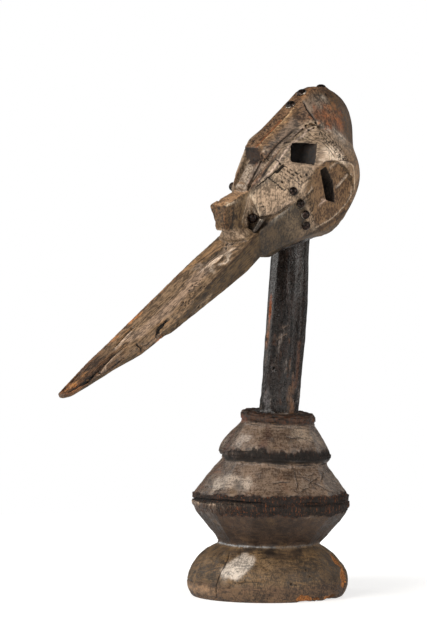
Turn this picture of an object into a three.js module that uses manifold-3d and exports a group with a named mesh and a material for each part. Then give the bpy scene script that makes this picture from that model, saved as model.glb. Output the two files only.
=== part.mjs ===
// An a-tshol shrine figure: a bird-like spirit head on a post neck, carved in one with its tiered plinth.
// Millimetres, +Z up. The origin is the middle of the foot's underside, and the beak points to -Y.
// The figure's own left side is +X. Head and neck lean a little to that side, as the carving does.
import * as THREE from "three";
import { ConvexGeometry } from "three/addons/geometries/ConvexGeometry.js";
import { LoftGeometry } from "three/addons/geometries/LoftGeometry.js";
import { mergeVertices } from "three/addons/utils/BufferGeometryUtils.js";
import Module from "manifold-3d";

const wasm = await Module();
wasm.setup();

// Gap between pieces that touch
const GAP = 0.3;

// Lean of head and neck, and where their own upright axis starts
const LEAN_DEG = 5.5;
const LEAN_FOOT = { x: 1, y: 1 };

// Plinth: radii, and heights above the ground, from the foot up
const PLINTH_SIDES = 48;
const FOOT = { sole: 88.5, belly: 94.5, bellyTop: 20, shoulder: 84, shoulderTop: 42 };
const WAIST = { radius: 59.5, height: 62 };
const DRUM = { edge: 92.6, edgeLow: 103, edgeHigh: 120, groove: 1.6, grooveHeight: 113.5 };
const CREASE = { radius: 61.5, height: 160 };
const TIER = { lip: 66, lipLow: 165, lipHigh: 172, top: 44.5 };
const RIM = { neck: 42.5, radius: 44, low: 203, high: 215 };

// How far each level of the plinth is off the foot's axis, and how much it tips to the left side
const PLINTH_DRIFT = [
  { height: 0, x: 0, y: 0, tipDeg: 0 },
  { height: 56, x: 0, y: 0, tipDeg: 0 },
  { height: 66, x: 6.5, y: 0, tipDeg: 1.2 },
  { height: 128, x: 6.5, y: 0, tipDeg: 1 },
  { height: 168, x: 12.5, y: -1.5, tipDeg: 3.5 },
  { height: 215, x: 20, y: -4, tipDeg: 5.5 },
];

// Neck: a faceted round post that bows a little
const NECK = { y: -7, bow: 3, sides: 12 };
const NECK_STATIONS = [
  { height: 190, radius: 23.4 },
  { height: 226, radius: 23.6 },
  { height: 264, radius: 24.1 },
  { height: 304, radius: 24.5 },
  { height: 350, radius: 24 },
  { height: 396, radius: 22.5 },
  { height: 436, radius: 22 },
];

// Beak: stations from the root to the broken tip, as distance in front of the neck's axis. The two at the
// root slant: their low edge lies further back than their top.
const BEAK = [
  { front: 84, top: 419, half: 15, low: 399, lowHalf: 11, back: 13 },
  { front: 91, top: 425, half: 25, low: 398, lowHalf: 18, back: 13 },
  { front: 98, top: 421.5, half: 26.3, low: 382, lowHalf: 18.5 },
  { front: 140, top: 391, half: 29, low: 357.5, lowHalf: 20 },
  { front: 180, top: 362, half: 29.5, low: 335, lowHalf: 20.5 },
  { front: 220, top: 333.5, half: 28, low: 311, lowHalf: 19.5 },
  { front: 228, top: 328, half: 27.4, low: 308, lowHalf: 18 },
  { front: 236, top: 322.7, half: 26.8, low: 303.5, lowHalf: 18 },
  { front: 262, top: 306, half: 24.2, low: 288, lowHalf: 17 },
  { front: 300, top: 283, half: 19, low: 271, lowHalf: 13.5 },
  { front: 332, top: 263.5, half: 13.2, low: 254, lowHalf: 9.5 },
  { front: 352, top: 251.5, half: 9, low: 244, lowHalf: 6.5 },
  { front: 363, top: 245.5, half: 5.5, low: 241.5, lowHalf: 3.5 },
];
const BEAK_KEEL = 3;
const TIP_SPLIT = { from: 300, to: 372, x: 1.5, half: 1.1, deep: 8 };

// Ear panel: the arc of its round edge, and how far out its floor lies and draws in downwards
const EAR = { y: -3, height: 469.5, radius: 43, fromDeg: 112, toDeg: -68, steps: 14, floor: 46.5, draw: 0.05 };

// Studs: domed metal heads on short shanks
const STUD = { shank: 1.5, length: 9, sides: 12 };
const CREST_STUD = { radius: 6.3, height: 4.6 };
const CHEEK_STUD = { radius: 5.3, height: 4.4 };
const EYE_STUD = { radius: 5.8, height: 4.6 };
const EYE_PEG = { radius: 3.2, length: 23, sides: 10 };

// A closed geometry as a solid that can be joined and cut
function solid(geometry) {
  const bare = geometry.index ? geometry.toNonIndexed() : geometry.clone();
  bare.deleteAttribute("normal");
  bare.deleteAttribute("uv");
  const merged = mergeVertices(bare, 1e-3);
  const build = (triVerts) =>
    new wasm.Manifold(
      new wasm.Mesh({
        numProp: 3,
        vertProperties: merged.attributes.position.array,
        triVerts,
      }),
    );
  const triVerts = new Uint32Array(merged.index.array);
  const made = build(triVerts);
  if (made.volume() > 0) return made;
  return build(triVerts.reverse());
}

// A solid back as a geometry
function geometryOf(made) {
  const mesh = made.getMesh();
  const geometry = new THREE.BufferGeometry();
  geometry.setAttribute("position", new THREE.BufferAttribute(new Float32Array(mesh.vertProperties), 3));
  geometry.setIndex(new THREE.BufferAttribute(new Uint32Array(mesh.triVerts), 1));
  const faceted = geometry.toNonIndexed();
  faceted.computeVertexNormals();
  return faceted;
}

const vector = (point) => new THREE.Vector3(...point);
const mirror = ([x, y, z]) => [-x, y, z];
const MIRROR = new THREE.Matrix4().makeScale(-1, 1, 1);
const bothSides = (points) => [...points, ...points.map(mirror)];
const hull = (points) => solid(new ConvexGeometry(points.map(vector)));
const symmetricHull = (points) => hull(bothSides(points));
const symmetricHullPair = (points) => hull(points).add(hull(points.map(mirror)));
const join = (solids) => solids.reduce((whole, next) => whole.add(next));
const radians = THREE.MathUtils.degToRad;

// Value of a named field between stations that are sorted by another
function between(stations, along, key, at) {
  const next = stations.findIndex((station) => station[along] >= at);
  if (next < 0) return stations.at(-1)[key];
  if (next === 0) return stations[0][key];
  const [a, b] = [stations[next - 1], stations[next]];
  return THREE.MathUtils.mapLinear(at, a[along], b[along], a[key], b[key]);
}

// The plinth's half outline, from the middle of the sole up to the middle of the top
function plinthOutline() {
  const outline = new THREE.Path();
  outline.moveTo(0, 0);
  outline.lineTo(FOOT.sole, 0);
  outline.quadraticCurveTo(FOOT.belly + 1, FOOT.bellyTop * 0.45, FOOT.belly, FOOT.bellyTop);
  outline.quadraticCurveTo(FOOT.belly - 1, FOOT.shoulderTop * 0.75, FOOT.shoulder, FOOT.shoulderTop);
  outline.quadraticCurveTo(FOOT.shoulder - 8, WAIST.height - 10, WAIST.radius + 2, WAIST.height - 2);
  outline.lineTo(WAIST.radius, WAIST.height);
  outline.lineTo(WAIST.radius + 7, WAIST.height + 10);
  outline.lineTo(DRUM.edge - 4, DRUM.edgeLow - 6);
  outline.quadraticCurveTo(DRUM.edge, DRUM.edgeLow - 1, DRUM.edge, DRUM.edgeLow + 5);
  outline.lineTo(DRUM.edge, DRUM.grooveHeight - 1.5);
  outline.lineTo(DRUM.edge - DRUM.groove, DRUM.grooveHeight);
  outline.lineTo(DRUM.edge - 0.4, DRUM.grooveHeight + 1.5);
  outline.lineTo(DRUM.edge - 0.6, DRUM.edgeHigh);
  outline.quadraticCurveTo(DRUM.edge - 2, DRUM.edgeHigh + 4, DRUM.edge - 7.5, DRUM.edgeHigh + 9);
  outline.quadraticCurveTo(CREASE.radius + 11, CREASE.height - 14, CREASE.radius + 2, CREASE.height - 3);
  outline.lineTo(CREASE.radius, CREASE.height);
  outline.lineTo(TIER.lip - 1.5, TIER.lipLow - 2);
  outline.lineTo(TIER.lip, TIER.lipLow);
  outline.lineTo(TIER.lip, TIER.lipHigh);
  outline.quadraticCurveTo(TIER.lip - 7, TIER.lipHigh + 14, TIER.top, RIM.low - 3);
  outline.lineTo(RIM.neck, RIM.low);
  outline.lineTo(RIM.radius, RIM.low + 3);
  outline.lineTo(RIM.radius, RIM.high - 2);
  outline.lineTo(RIM.radius - 2, RIM.high);
  outline.lineTo(0, RIM.high);
  return outline.getPoints(3);
}

// Hand-cut unevenness of the plinth's radius, fading out at the sole
function plinthWobble(angle, height) {
  const slow = 0.9 * Math.sin(3 * angle + height * 0.03);
  const quick = 0.5 * Math.sin(7 * angle - height * 0.11);
  return (slow + quick) * THREE.MathUtils.smoothstep(height, 0, 12);
}

function makePlinth() {
  const geometry = new THREE.LatheGeometry(plinthOutline(), PLINTH_SIDES);
  geometry.rotateX(Math.PI / 2);
  const spots = geometry.attributes.position;
  for (let i = 0; i < spots.count; i += 1) {
    const height = spots.getZ(i);
    const radius = Math.hypot(spots.getX(i), spots.getY(i));
    const angle = Math.atan2(spots.getY(i), spots.getX(i));
    const grown = radius < 1 ? radius : radius + plinthWobble(angle, height);
    const x = grown * Math.cos(angle);
    const y = grown * Math.sin(angle);
    const tip = Math.tan(radians(between(PLINTH_DRIFT, "height", "tipDeg", height)));
    spots.setXYZ(
      i,
      x + between(PLINTH_DRIFT, "height", "x", height),
      y + between(PLINTH_DRIFT, "height", "y", height),
      height - x * tip,
    );
  }
  return solid(geometry);
}

// The neck in the head's frame: a post of flat facets that bows slightly
function makeNeck() {
  const low = NECK_STATIONS[0].height;
  const high = NECK_STATIONS.at(-1).height;
  const sections = NECK_STATIONS.map(({ height, radius }) => {
    const t = (height - low) / (high - low);
    const section = [];
    for (let side = 0; side < NECK.sides; side += 1) {
      const angle = (2 * Math.PI * side) / NECK.sides;
      const cut = 0.5 * Math.sin(5 * angle + 2 * t) + 0.4 * Math.cos(2 * angle + 7 * t);
      const x = NECK.bow * Math.sin(Math.PI * t) + (radius + cut) * Math.cos(angle);
      const y = NECK.y + (radius + cut) * Math.sin(angle);
      section.push(new THREE.Vector3(x, y, height));
    }
    return section;
  });
  return solid(new LoftGeometry(sections, { capStart: true, capEnd: true }));
}

// The beak: a long bar with a level top, sides that draw in, and a shallow keel
function makeBeak() {
  const sections = BEAK.map(({ front, top, half, low, lowHalf, back = 0 }) => {
    const deep = top - low;
    const keel = low - Math.min(BEAK_KEEL, deep * 0.2);
    return bothSides([
      [half * 0.5, -front, top + 0.6],
      [half, -front, top],
      [half * 0.98, -front, top - deep * 0.25],
      [lowHalf, back - front, low],
      [lowHalf * 0.45, back - front, keel],
    ]);
  });
  const ring = (points) => {
    const half = points.length / 2;
    return [...points.slice(half), ...points.slice(0, half).reverse()].map(vector);
  };
  return solid(new LoftGeometry(sections.map(ring), { capStart: true, capEnd: true }));
}

// The open crack at the beak's tip
function makeTipSplit() {
  const { from, to, x, half, deep } = TIP_SPLIT;
  const topAt = (front) => between(BEAK, "front", "top", front) + 4;
  return hull([
    [x, -from, topAt(from)],
    [x, -from, topAt(from) - deep * 0.6],
    [x - half, -to, topAt(to)],
    [x + half, -to, topAt(to)],
    [x - half, -to, topAt(to) - deep],
    [x + half, -to, topAt(to) - deep],
    [x - half, -(from + to) / 2, topAt((from + to) / 2)],
    [x + half, -(from + to) / 2, topAt((from + to) / 2)],
  ]);
}

// Landmarks of the left side of the face, in the head's frame
const FACE = {
  browRoot: [9.5, -97, 469],
  browFoot: [25, -82.5, 488],
  cheekCorner: [44, -67, 474.5],
  cheekEdge: [47, -60, 464.5],
  cheekMiddle: [32.5, -76.5, 448.5],
  cheekLow: [20, -88, 443],
  jawRidgeTop: [44.6, -55, 463],
  jawRidgeMiddle: [33.5, -73.6, 444.8],
  jawRidgeLow: [25.8, -85.6, 430.9],
  beakGroove: [21.2, -91.4, 421.3],
  jawFront: [18.5, -77, 397],
  jawBack: [40, -33.3, 425.6],
  jawUpperBack: [44.3, -44, 451],
};

// Rings of the skull's back, from the underside up: height, then how far out and back it reaches
const SKULL_RINGS = [
  { height: 424.5, reach: [[24, 12], [10, 28]] },
  { height: 430, reach: [[44, -8], [32, 29], [12, 47]] },
  { height: 441, reach: [[45, 18], [36, 37], [22, 52], [6, 61]] },
  { height: 460, reach: [[48, 34], [39, 51], [24, 65], [6, 74]] },
  { height: 478, reach: [[52, 38], [43, 57], [26, 73], [6, 82]] },
  { height: 495, reach: [[53.5, 0], [53.5, 38], [49, 52], [42, 62], [26, 76], [6, 85]] },
  { height: 510, reach: [[52.5, 0], [51, 42], [41, 60], [25, 75], [6, 84]] },
  { height: 525, reach: [[50, 3], [44, 45], [34, 58], [20, 70], [6, 79]] },
  { height: 546, reach: [[37, -18], [40, 6], [38, 30]] },
];

// The skull: flat planes in front, full sides, and a rounded back
function makeSkull() {
  const front = [
    FACE.browRoot,
    FACE.browFoot,
    [44, -62, 475],
    [44, -34, 437],
    [38, -36, 422],
    [12, -68, 400],
    [27.5, -64, 502],
    [31, -55.5, 508],
    [31, -56, 529],
    [49.5, -34.5, 506],
    [50, -31, 529],
    [48, -53, 475],
    [52, -36, 492],
    [8, -76, 500],
    [20, -61, 514],
    [26, -38, 533],
  ];
  const back = SKULL_RINGS.flatMap(({ height, reach }) => reach.map(([x, y]) => [x, y, height]));
  return symmetricHull([...front, ...back]);
}

// The cheek: an upper plane that stands over a lower one, with a crevice between them
function makeCheeks() {
  const upper = [FACE.browRoot, FACE.browFoot, FACE.cheekCorner, FACE.cheekEdge, FACE.cheekMiddle, FACE.cheekLow];
  const crevice = [FACE.jawRidgeMiddle, FACE.jawRidgeLow].map(([x, y, z]) => [x - 6, y + 5, z + 0.5]);
  const lower = [
    FACE.jawRidgeTop,
    FACE.jawRidgeMiddle,
    FACE.jawRidgeLow,
    FACE.beakGroove,
    FACE.jawFront,
    FACE.jawBack,
    FACE.jawUpperBack,
    ...crevice,
  ];
  const behind = ([x, y, z]) => [x * 0.5, y + 24, z];
  return join([upper, lower].map((corners) => symmetricHull([...corners, ...corners.map(behind)])));
}

// The sunk panel of the ear: flush along the studs, sunk under the rim of its round edge
function makeEarPanels() {
  const arc = [];
  for (let step = 0; step <= EAR.steps; step += 1) {
    const angle = radians(THREE.MathUtils.lerp(EAR.fromDeg, EAR.toDeg, step / EAR.steps));
    arc.push([EAR.y + EAR.radius * Math.cos(angle), EAR.height + EAR.radius * Math.sin(angle)]);
  }
  const front = [
    [47.5, -50, 474],
    [52.5, -36, 492],
    [45.5, -44, 461],
    [44, -31, 438],
  ];
  const floor = arc.map(([y, z]) => [EAR.floor - EAR.draw * (EAR.height - z), y, z]);
  const outline = [...front.map(([, y, z]) => [y, z]), ...arc];
  return symmetricHullPair([...front, ...floor, ...outline.map(([y, z]) => [75, y, z])]);
}

// The brow: a raised wedge from beside the nose up along the crest
function makeBrows() {
  const face = [
    [9, -101, 467],
    [14, -98.5, 480],
    [24, -66.5, 521],
    [29.5, -34.5, 545],
    [35, -17.5, 551.5],
    [39, -19, 545],
    [32, -57, 529],
    [31, -56.5, 510],
    [28, -64.5, 502],
    [25, -83, 488],
  ];
  const behind = ([x, y, z]) => [x * 0.8, y + 14, z - 8];
  return symmetricHullPair([...face, ...face.map(behind)]);
}

// The crest: a steep roof with a narrow flat top, running back into the rounded chignon
function makeCrest() {
  return symmetricHull([
    [10, -88, 521],
    [10, -38.5, 561],
    [9.5, -21, 576.5],
    [9, -4, 588],
    [12, -81.5, 507],
    [20, -54, 533],
    [26, -17, 555],
    [12, -52, 500],
    [20, 10, 540],
  ]);
}

// The chignon: a smooth dome that carries the crest's line round to the back of the head
function makeChignon() {
  const ridge = [
    [10, -21, 575.5],
    [9, -6, 589],
    [8, 12, 595.8],
    [8, 28, 597.5],
    [8, 44, 594.5],
    [8, 56, 589.5],
    [8, 67, 580],
    [9, 75, 566.5],
    [9, 79, 552],
    [9, 80, 538],
    [9, 80, 524],
  ];
  const flank = [
    [30, -16, 552.5],
    [38.5, 4, 549.5],
    [40, 20, 544],
    [39, 36, 537.5],
    [31, 58, 530.5],
    [21, 70, 525],
  ];
  const middle = [
    [20, -8, 574],
    [23, 14, 581],
    [25, 34, 581],
    [23, 53, 573],
    [20, 65, 561.5],
    [33, 16, 564],
    [34, 36, 558],
    [29.5, 55, 549],
    [22, 66, 542],
  ];
  return symmetricHull([...ridge, ...flank, ...middle]);
}

// The roll on the forehead, tapering down to a ring fold above the nose
function makeForeheadRoll() {
  const top = vector([0, -68, 513]);
  const foot = vector([0, -101, 471]);
  const along = foot.clone().sub(top);
  const length = along.length();
  const profile = [
    [0, 0],
    [8.6, 0],
    [8.6, length * 0.4],
    [7, length * 0.84],
    [6.4, length * 0.87],
    [7.8, length * 0.9],
    [7.8, length * 0.96],
    [6, length],
    [0, length],
  ].map(([radius, height]) => new THREE.Vector2(radius, height));
  const geometry = new THREE.LatheGeometry(profile, 14);
  const turn = new THREE.Quaternion().setFromUnitVectors(vector([0, 1, 0]), along.normalize());
  geometry.applyQuaternion(turn).translate(top.x, top.y, top.z);
  return solid(geometry);
}

// The nose: a square block that grows taller to its broken front end
function makeNose() {
  return symmetricHull([
    [11.7, -138.5, 453],
    [6.5, -130, 424.5],
    [9.5, -99, 471],
    [8.5, -102.5, 432],
    [5, -88, 428],
    [5, -84, 470],
  ]);
}

// The foot under the nose: sloping sides between the beak's edges and the nose, with a steep broken front
function makeNoseFoot() {
  return symmetricHull([
    [21.5, -91.5, 423],
    [25.3, -105, 415],
    [8.5, -102.5, 432.5],
    [5.5, -121, 427],
    [12, -114, 418.5],
    [14, -109, 412],
    [3, -112, 409.5],
    [14, -86, 424],
    [12, -88, 410],
  ]);
}

// The eye hollow: a deep triangle between the nose's side and the upper cheek
function makeEyeHollow() {
  const mouth = [
    [9.8, -97.5, 467.5],
    [8.5, -103, 433],
    [13.5, -101, 431.5],
    [20, -94, 427],
    [19.8, -88.4, 443],
  ];
  const floor = [
    [7, -95, 458],
    [5, -96.6, 434],
    [16.5, -86, 447],
    [19, -84, 427],
  ];
  return hull([...mouth, ...floor]);
}

// The square hole through the head from side to side
function makeWindow() {
  return symmetricHull([
    [70, -56, 529],
    [70, -31, 530],
    [70, -34.5, 506],
    [70, -58.5, 508],
  ]);
}

// The slanted slot through the head behind each cheek
function makeSlot() {
  return symmetricHull([
    [70, -19.5, 500],
    [70, -11, 505],
    [70, 4.5, 489],
    [70, 13, 464.5],
    [70, -4, 467],
  ]);
}

// Outline of a domed stud with its shank, grown by a clearance for its seat
function studProfile({ radius, height }, clearance) {
  const profile = [
    [0, -STUD.length - clearance],
    [STUD.shank + clearance, -STUD.length - clearance],
    [STUD.shank + clearance, -clearance],
    [radius + clearance, -clearance],
  ];
  if (clearance > 0) {
    profile.push([radius + clearance, height * 4], [0, height * 4]);
  } else {
    profile.push([radius, height * 0.28], [radius * 0.82, height * 0.7], [radius * 0.45, height * 0.94], [0, height]);
  }
  return profile.map(([x, y]) => new THREE.Vector2(x, y));
}

// Turn that carries the lathe's axis to the given direction
function facing(direction) {
  return new THREE.Quaternion().setFromUnitVectors(vector([0, 1, 0]), vector(direction).normalize());
}

// Every stud: its kind, where its seat lies on the wood, and which way it faces
const STUDS = [
  { name: "crest_stud_front", kind: CREST_STUD, at: [0, -24.5, 572.5], facing: [0, -0.66, 0.75] },
  { name: "crest_stud_middle", kind: CREST_STUD, at: [0, -6.5, 587.5], facing: [0, -0.55, 0.83] },
  { name: "crest_stud_rear", kind: CREST_STUD, at: [0, 28, 596], facing: [0, 0.02, 1] },
];
const CHEEK_STUDS = [
  { at: [46, -63, 474.5], facing: [0.8, -0.6, 0.1] },
  { at: [45.5, -48, 461], facing: [0.86, -0.5, 0] },
  { at: [45.5, -38, 449], facing: [0.88, -0.47, -0.05] },
  { at: [43.5, -33, 436.5], facing: [0.88, -0.45, -0.1] },
];
CHEEK_STUDS.forEach(({ at, facing: way }, index) => {
  STUDS.push({ name: `cheek_stud_left_${index + 1}`, kind: CHEEK_STUD, at, facing: way });
  STUDS.push({ name: `cheek_stud_right_${index + 1}`, kind: CHEEK_STUD, at: mirror(at), facing: mirror(way) });
});
const EYE_STUD_SEAT = { at: [12, -90, 441], facing: [0.68, -0.73, 0] };
STUDS.push({ name: "eye_stud_left", kind: EYE_STUD, ...EYE_STUD_SEAT });
STUDS.push({
  name: "eye_stud_right",
  kind: EYE_STUD,
  at: mirror(EYE_STUD_SEAT.at),
  facing: mirror(EYE_STUD_SEAT.facing),
});

function studSeat({ kind, at, facing: way }) {
  const geometry = new THREE.LatheGeometry(studProfile(kind, GAP), STUD.sides);
  geometry.applyQuaternion(facing(way)).translate(...at);
  return solid(geometry);
}

// The eye pegs: short round pegs that stand in the outer corner of each eye hollow
const PEG_FOOT = [13.7, -92.1, 421];
const PEG_WAY = [0.46, 0.16, 0.87];

function pegGeometry(clearance) {
  const radius = EYE_PEG.radius + clearance;
  const top = EYE_PEG.length + clearance;
  const profile = [
    [0, -clearance],
    [radius, -clearance],
    [radius, top - 1],
    [radius - 1, top],
    [0, top],
  ].map(([x, y]) => new THREE.Vector2(x, y));
  return new THREE.LatheGeometry(profile, EYE_PEG.sides);
}

const PEGS = [
  { name: "eye_peg_left", at: PEG_FOOT, facing: PEG_WAY },
  { name: "eye_peg_right", at: mirror(PEG_FOOT), facing: mirror(PEG_WAY) },
];

function makeHead() {
  const wood = join([
    makeSkull(),
    makeCheeks(),
    makeBrows(),
    makeCrest(),
    makeChignon(),
    makeForeheadRoll(),
    makeNose(),
    makeNoseFoot(),
    makeBeak(),
    makeNeck(),
  ]);
  const eye = makeEyeHollow();
  const farEye = solid(geometryOf(eye).applyMatrix4(MIRROR));
  const pegSeats = PEGS.map((peg) =>
    solid(pegGeometry(GAP).applyQuaternion(facing(peg.facing)).translate(...peg.at)),
  );
  const carved = [eye, farEye, makeEarPanels(), makeWindow(), makeSlot(), makeTipSplit()];
  const cuts = [...carved, ...STUDS.map(studSeat), ...pegSeats];
  return wood.subtract(join(cuts));
}

// Colours and shine of the two materials
const wood = new THREE.MeshStandardMaterial({ color: 0x6e5a48, roughness: 0.62, metalness: 0 });
const metal = () => new THREE.MeshStandardMaterial({ color: 0x2e2520, roughness: 0.38, metalness: 0.8 });

const figure = new THREE.Group();
const head = new THREE.Group();
head.position.set(LEAN_FOOT.x, LEAN_FOOT.y, 0);
head.rotation.y = radians(LEAN_DEG);
head.updateMatrix();
figure.add(head);

const leaningHead = solid(geometryOf(makeHead()).applyMatrix4(head.matrix));
const carving = new THREE.Mesh(geometryOf(makePlinth().add(leaningHead)), wood);
carving.name = "tshol_carving";
figure.add(carving);

for (const { name, kind, at, facing: way } of STUDS) {
  const stud = new THREE.Mesh(new THREE.LatheGeometry(studProfile(kind, 0), STUD.sides), metal());
  stud.name = name;
  stud.position.set(...at);
  stud.quaternion.copy(facing(way));
  head.add(stud);
}

for (const { name, at, facing: way } of PEGS) {
  const peg = new THREE.Mesh(pegGeometry(0), metal());
  peg.name = name;
  peg.position.set(...at);
  peg.quaternion.copy(facing(way));
  head.add(peg);
}

export default figure;
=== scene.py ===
"""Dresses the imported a-tshol shrine figure: its carving, its metal studs and its eye pegs.

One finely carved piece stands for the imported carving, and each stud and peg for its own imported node. The
classes work in millimetres, in the row frame or in the frame of the leaning head, and write meshes in metres.
"""

import logging
import math
from dataclasses import dataclass, field
from enum import Enum

import bpy
import numpy as np
from mathutils import Matrix, Vector


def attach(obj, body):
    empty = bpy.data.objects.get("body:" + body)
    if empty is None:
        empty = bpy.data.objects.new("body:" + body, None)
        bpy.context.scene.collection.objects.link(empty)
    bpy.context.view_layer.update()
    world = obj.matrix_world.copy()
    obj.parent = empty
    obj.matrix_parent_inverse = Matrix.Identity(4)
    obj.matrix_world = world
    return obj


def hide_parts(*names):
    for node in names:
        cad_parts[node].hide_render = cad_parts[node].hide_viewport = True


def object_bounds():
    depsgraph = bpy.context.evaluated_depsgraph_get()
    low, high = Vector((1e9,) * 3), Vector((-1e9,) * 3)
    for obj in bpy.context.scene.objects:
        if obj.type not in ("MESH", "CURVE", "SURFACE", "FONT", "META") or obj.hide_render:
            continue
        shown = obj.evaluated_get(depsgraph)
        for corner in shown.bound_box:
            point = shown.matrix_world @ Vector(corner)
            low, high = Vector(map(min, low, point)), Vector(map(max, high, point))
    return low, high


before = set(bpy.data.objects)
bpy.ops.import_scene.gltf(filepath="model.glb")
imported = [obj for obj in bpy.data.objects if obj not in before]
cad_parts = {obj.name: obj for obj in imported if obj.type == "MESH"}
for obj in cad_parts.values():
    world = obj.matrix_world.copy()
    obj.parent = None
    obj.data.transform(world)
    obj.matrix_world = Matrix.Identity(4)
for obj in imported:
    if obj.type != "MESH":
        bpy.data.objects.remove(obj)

CAD_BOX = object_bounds()
MM = 0.001
BODY = "root"

Spot = tuple[float, float]
Place = tuple[float, float, float]

log = logging.getLogger("tshol")


def linear(hex_colour: str) -> tuple[float, float, float, float]:
    """Turns a colour as written for the screen into the renderer's linear one.

    Args:
        hex_colour: Six hex digits.

    Returns:
        Linear red, green, blue and an alpha of 1.
    """
    parts = [int(hex_colour[i : i + 2], 16) / 255 for i in (0, 2, 4)]
    low = [p / 12.92 if p <= 0.04045 else ((p + 0.055) / 1.055) ** 2.4 for p in parts]
    return (low[0], low[1], low[2], 1.0)


def ease(value: np.ndarray, start: float, end: float) -> np.ndarray:
    """Rises smoothly from 0 at start to 1 at end, or falls where end lies below start.

    Args:
        value: Any array.
        start: Where the result is 0.
        end: Where the result is 1.

    Returns:
        An array of the same shape, from 0 to 1.
    """
    t = np.clip((value - start) / (end - start), 0.0, 1.0)
    return t * t * (3.0 - 2.0 * t)


def inside(value: np.ndarray, low: float, high: float, soft: float) -> np.ndarray:
    """Marks a range with soft ends.

    Args:
        value: Any array.
        low: Lower end of the range.
        high: Upper end of the range.
        soft: How far each end fades, outwards.

    Returns:
        1 in the range, 0 away from it.
    """
    return ease(value, low - soft, low) * ease(value, high + soft, high)


def value_noise(points: np.ndarray, size: float, seed: int) -> np.ndarray:
    """Smooth noise from a lattice of random values.

    Args:
        points: N by 3 places.
        size: Edge of one lattice cell.
        seed: Picks the pattern.

    Returns:
        N values from -1 to 1.
    """
    table = np.random.default_rng(seed).uniform(-1.0, 1.0, 4096)
    spots = points / size
    cells = np.floor(spots).astype(np.int64)
    part = spots - cells
    part = part * part * (3.0 - 2.0 * part)
    total = np.zeros(len(points))
    for corner in range(8):
        step = np.array([(corner >> axis) & 1 for axis in range(3)])
        key = (cells + step) * np.array([73856093, 19349663, 83492791])
        mixed = key[:, 0] ^ key[:, 1] ^ key[:, 2]
        weight = np.prod(np.where(step == 1, part, 1.0 - part), axis=1)
        total += table[mixed & 4095] * weight
    return total


def layered_noise(points: np.ndarray, size: float, seed: int, layers: int = 3) -> np.ndarray:
    """Noise of several sizes on top of each other, each half as large and half as strong.

    Args:
        points: N by 3 places.
        size: Cell of the largest layer.
        seed: Picks the pattern.
        layers: How many layers there are.

    Returns:
        N values, mostly from -1 to 1.
    """
    total = np.zeros(len(points))
    for layer in range(layers):
        total += value_noise(points, size * 0.5**layer, seed + layer) * 0.5**layer
    return total


def cell_noise(points: np.ndarray, size: float, seed: int) -> np.ndarray:
    """Distance to the nearest of randomly set seeds, as the marks of a cutting tool are laid.

    Args:
        points: N by 3 places.
        size: Typical distance between two seeds.
        seed: Picks the pattern.

    Returns:
        N distances, in units of size.
    """
    table = np.random.default_rng(seed).uniform(0.0, 1.0, (4096, 3))
    spots = points / size
    cells = np.floor(spots).astype(np.int64)
    nearest = np.full(len(points), 9.0)
    for corner in range(27):
        step = np.array([corner % 3 - 1, corner // 3 % 3 - 1, corner // 9 - 1])
        home = cells + step
        key = home * np.array([73856093, 19349663, 83492791])
        mixed = key[:, 0] ^ key[:, 1] ^ key[:, 2]
        away = home + table[mixed & 4095] - spots
        nearest = np.minimum(nearest, np.einsum("ij,ij->i", away, away))
    return np.sqrt(nearest)


@dataclass(frozen=True)
class HeadFrame:
    """The frame of head and neck, which lean to the figure's left on the plinth."""

    lean_deg: float = 5.5
    foot: Place = (1.1, 1.0, 0.0)

    def axes(self) -> np.ndarray:
        """Returns the head frame's three axes as rows."""
        lean = math.radians(self.lean_deg)
        across = (math.cos(lean), 0.0, -math.sin(lean))
        upward = (math.sin(lean), 0.0, math.cos(lean))
        return np.array([across, (0.0, 1.0, 0.0), upward])

    def enter(self, points: np.ndarray) -> np.ndarray:
        """Turns places of the row frame into places of the head frame."""
        return (points - np.array(self.foot)) @ self.axes().T

    def turn(self, ways: np.ndarray) -> np.ndarray:
        """Turns directions of the row frame into directions of the head frame."""
        return ways @ self.axes().T


class Mark(Enum):
    """What the skin remembers of each spot, for the finish."""

    CUT = "cut"
    WEAR = "wear"
    HOLLOW_SHADE_AND_DIRT = "hollow"
    RAW = "raw"
    LIP = "lip"
    STREAK = "streak"
    SHINE = "shine"
    ALONG_BEAK = "along_beak"
    ALONG_CREST = "along_crest"
    TURNED = "turned"


class Tone(Enum):
    """The colours that change from one stretch of the carving to the next."""

    DARK = "tone_dark"
    LIGHT = "tone_light"
    STREAK = "tone_streak"
    WORN = "tone_worn"


def average_over(values: np.ndarray, edges: np.ndarray, degree: np.ndarray) -> np.ndarray:
    """Averages values over the neighbours that edges join.

    Args:
        values: One row or number for each vertex.
        edges: Pairs of vertices.
        degree: How many edges each vertex has.

    Returns:
        An array of the same shape as the values.
    """
    rows = values.reshape(len(values), -1)
    first, second = edges[:, 0], edges[:, 1]
    result = np.empty_like(rows)
    for column in range(rows.shape[1]):
        there = rows[:, column]
        near = np.bincount(first, there[second], len(rows)) + np.bincount(second, there[first], len(rows))
        result[:, column] = near / degree
    return result.reshape(values.shape)


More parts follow.
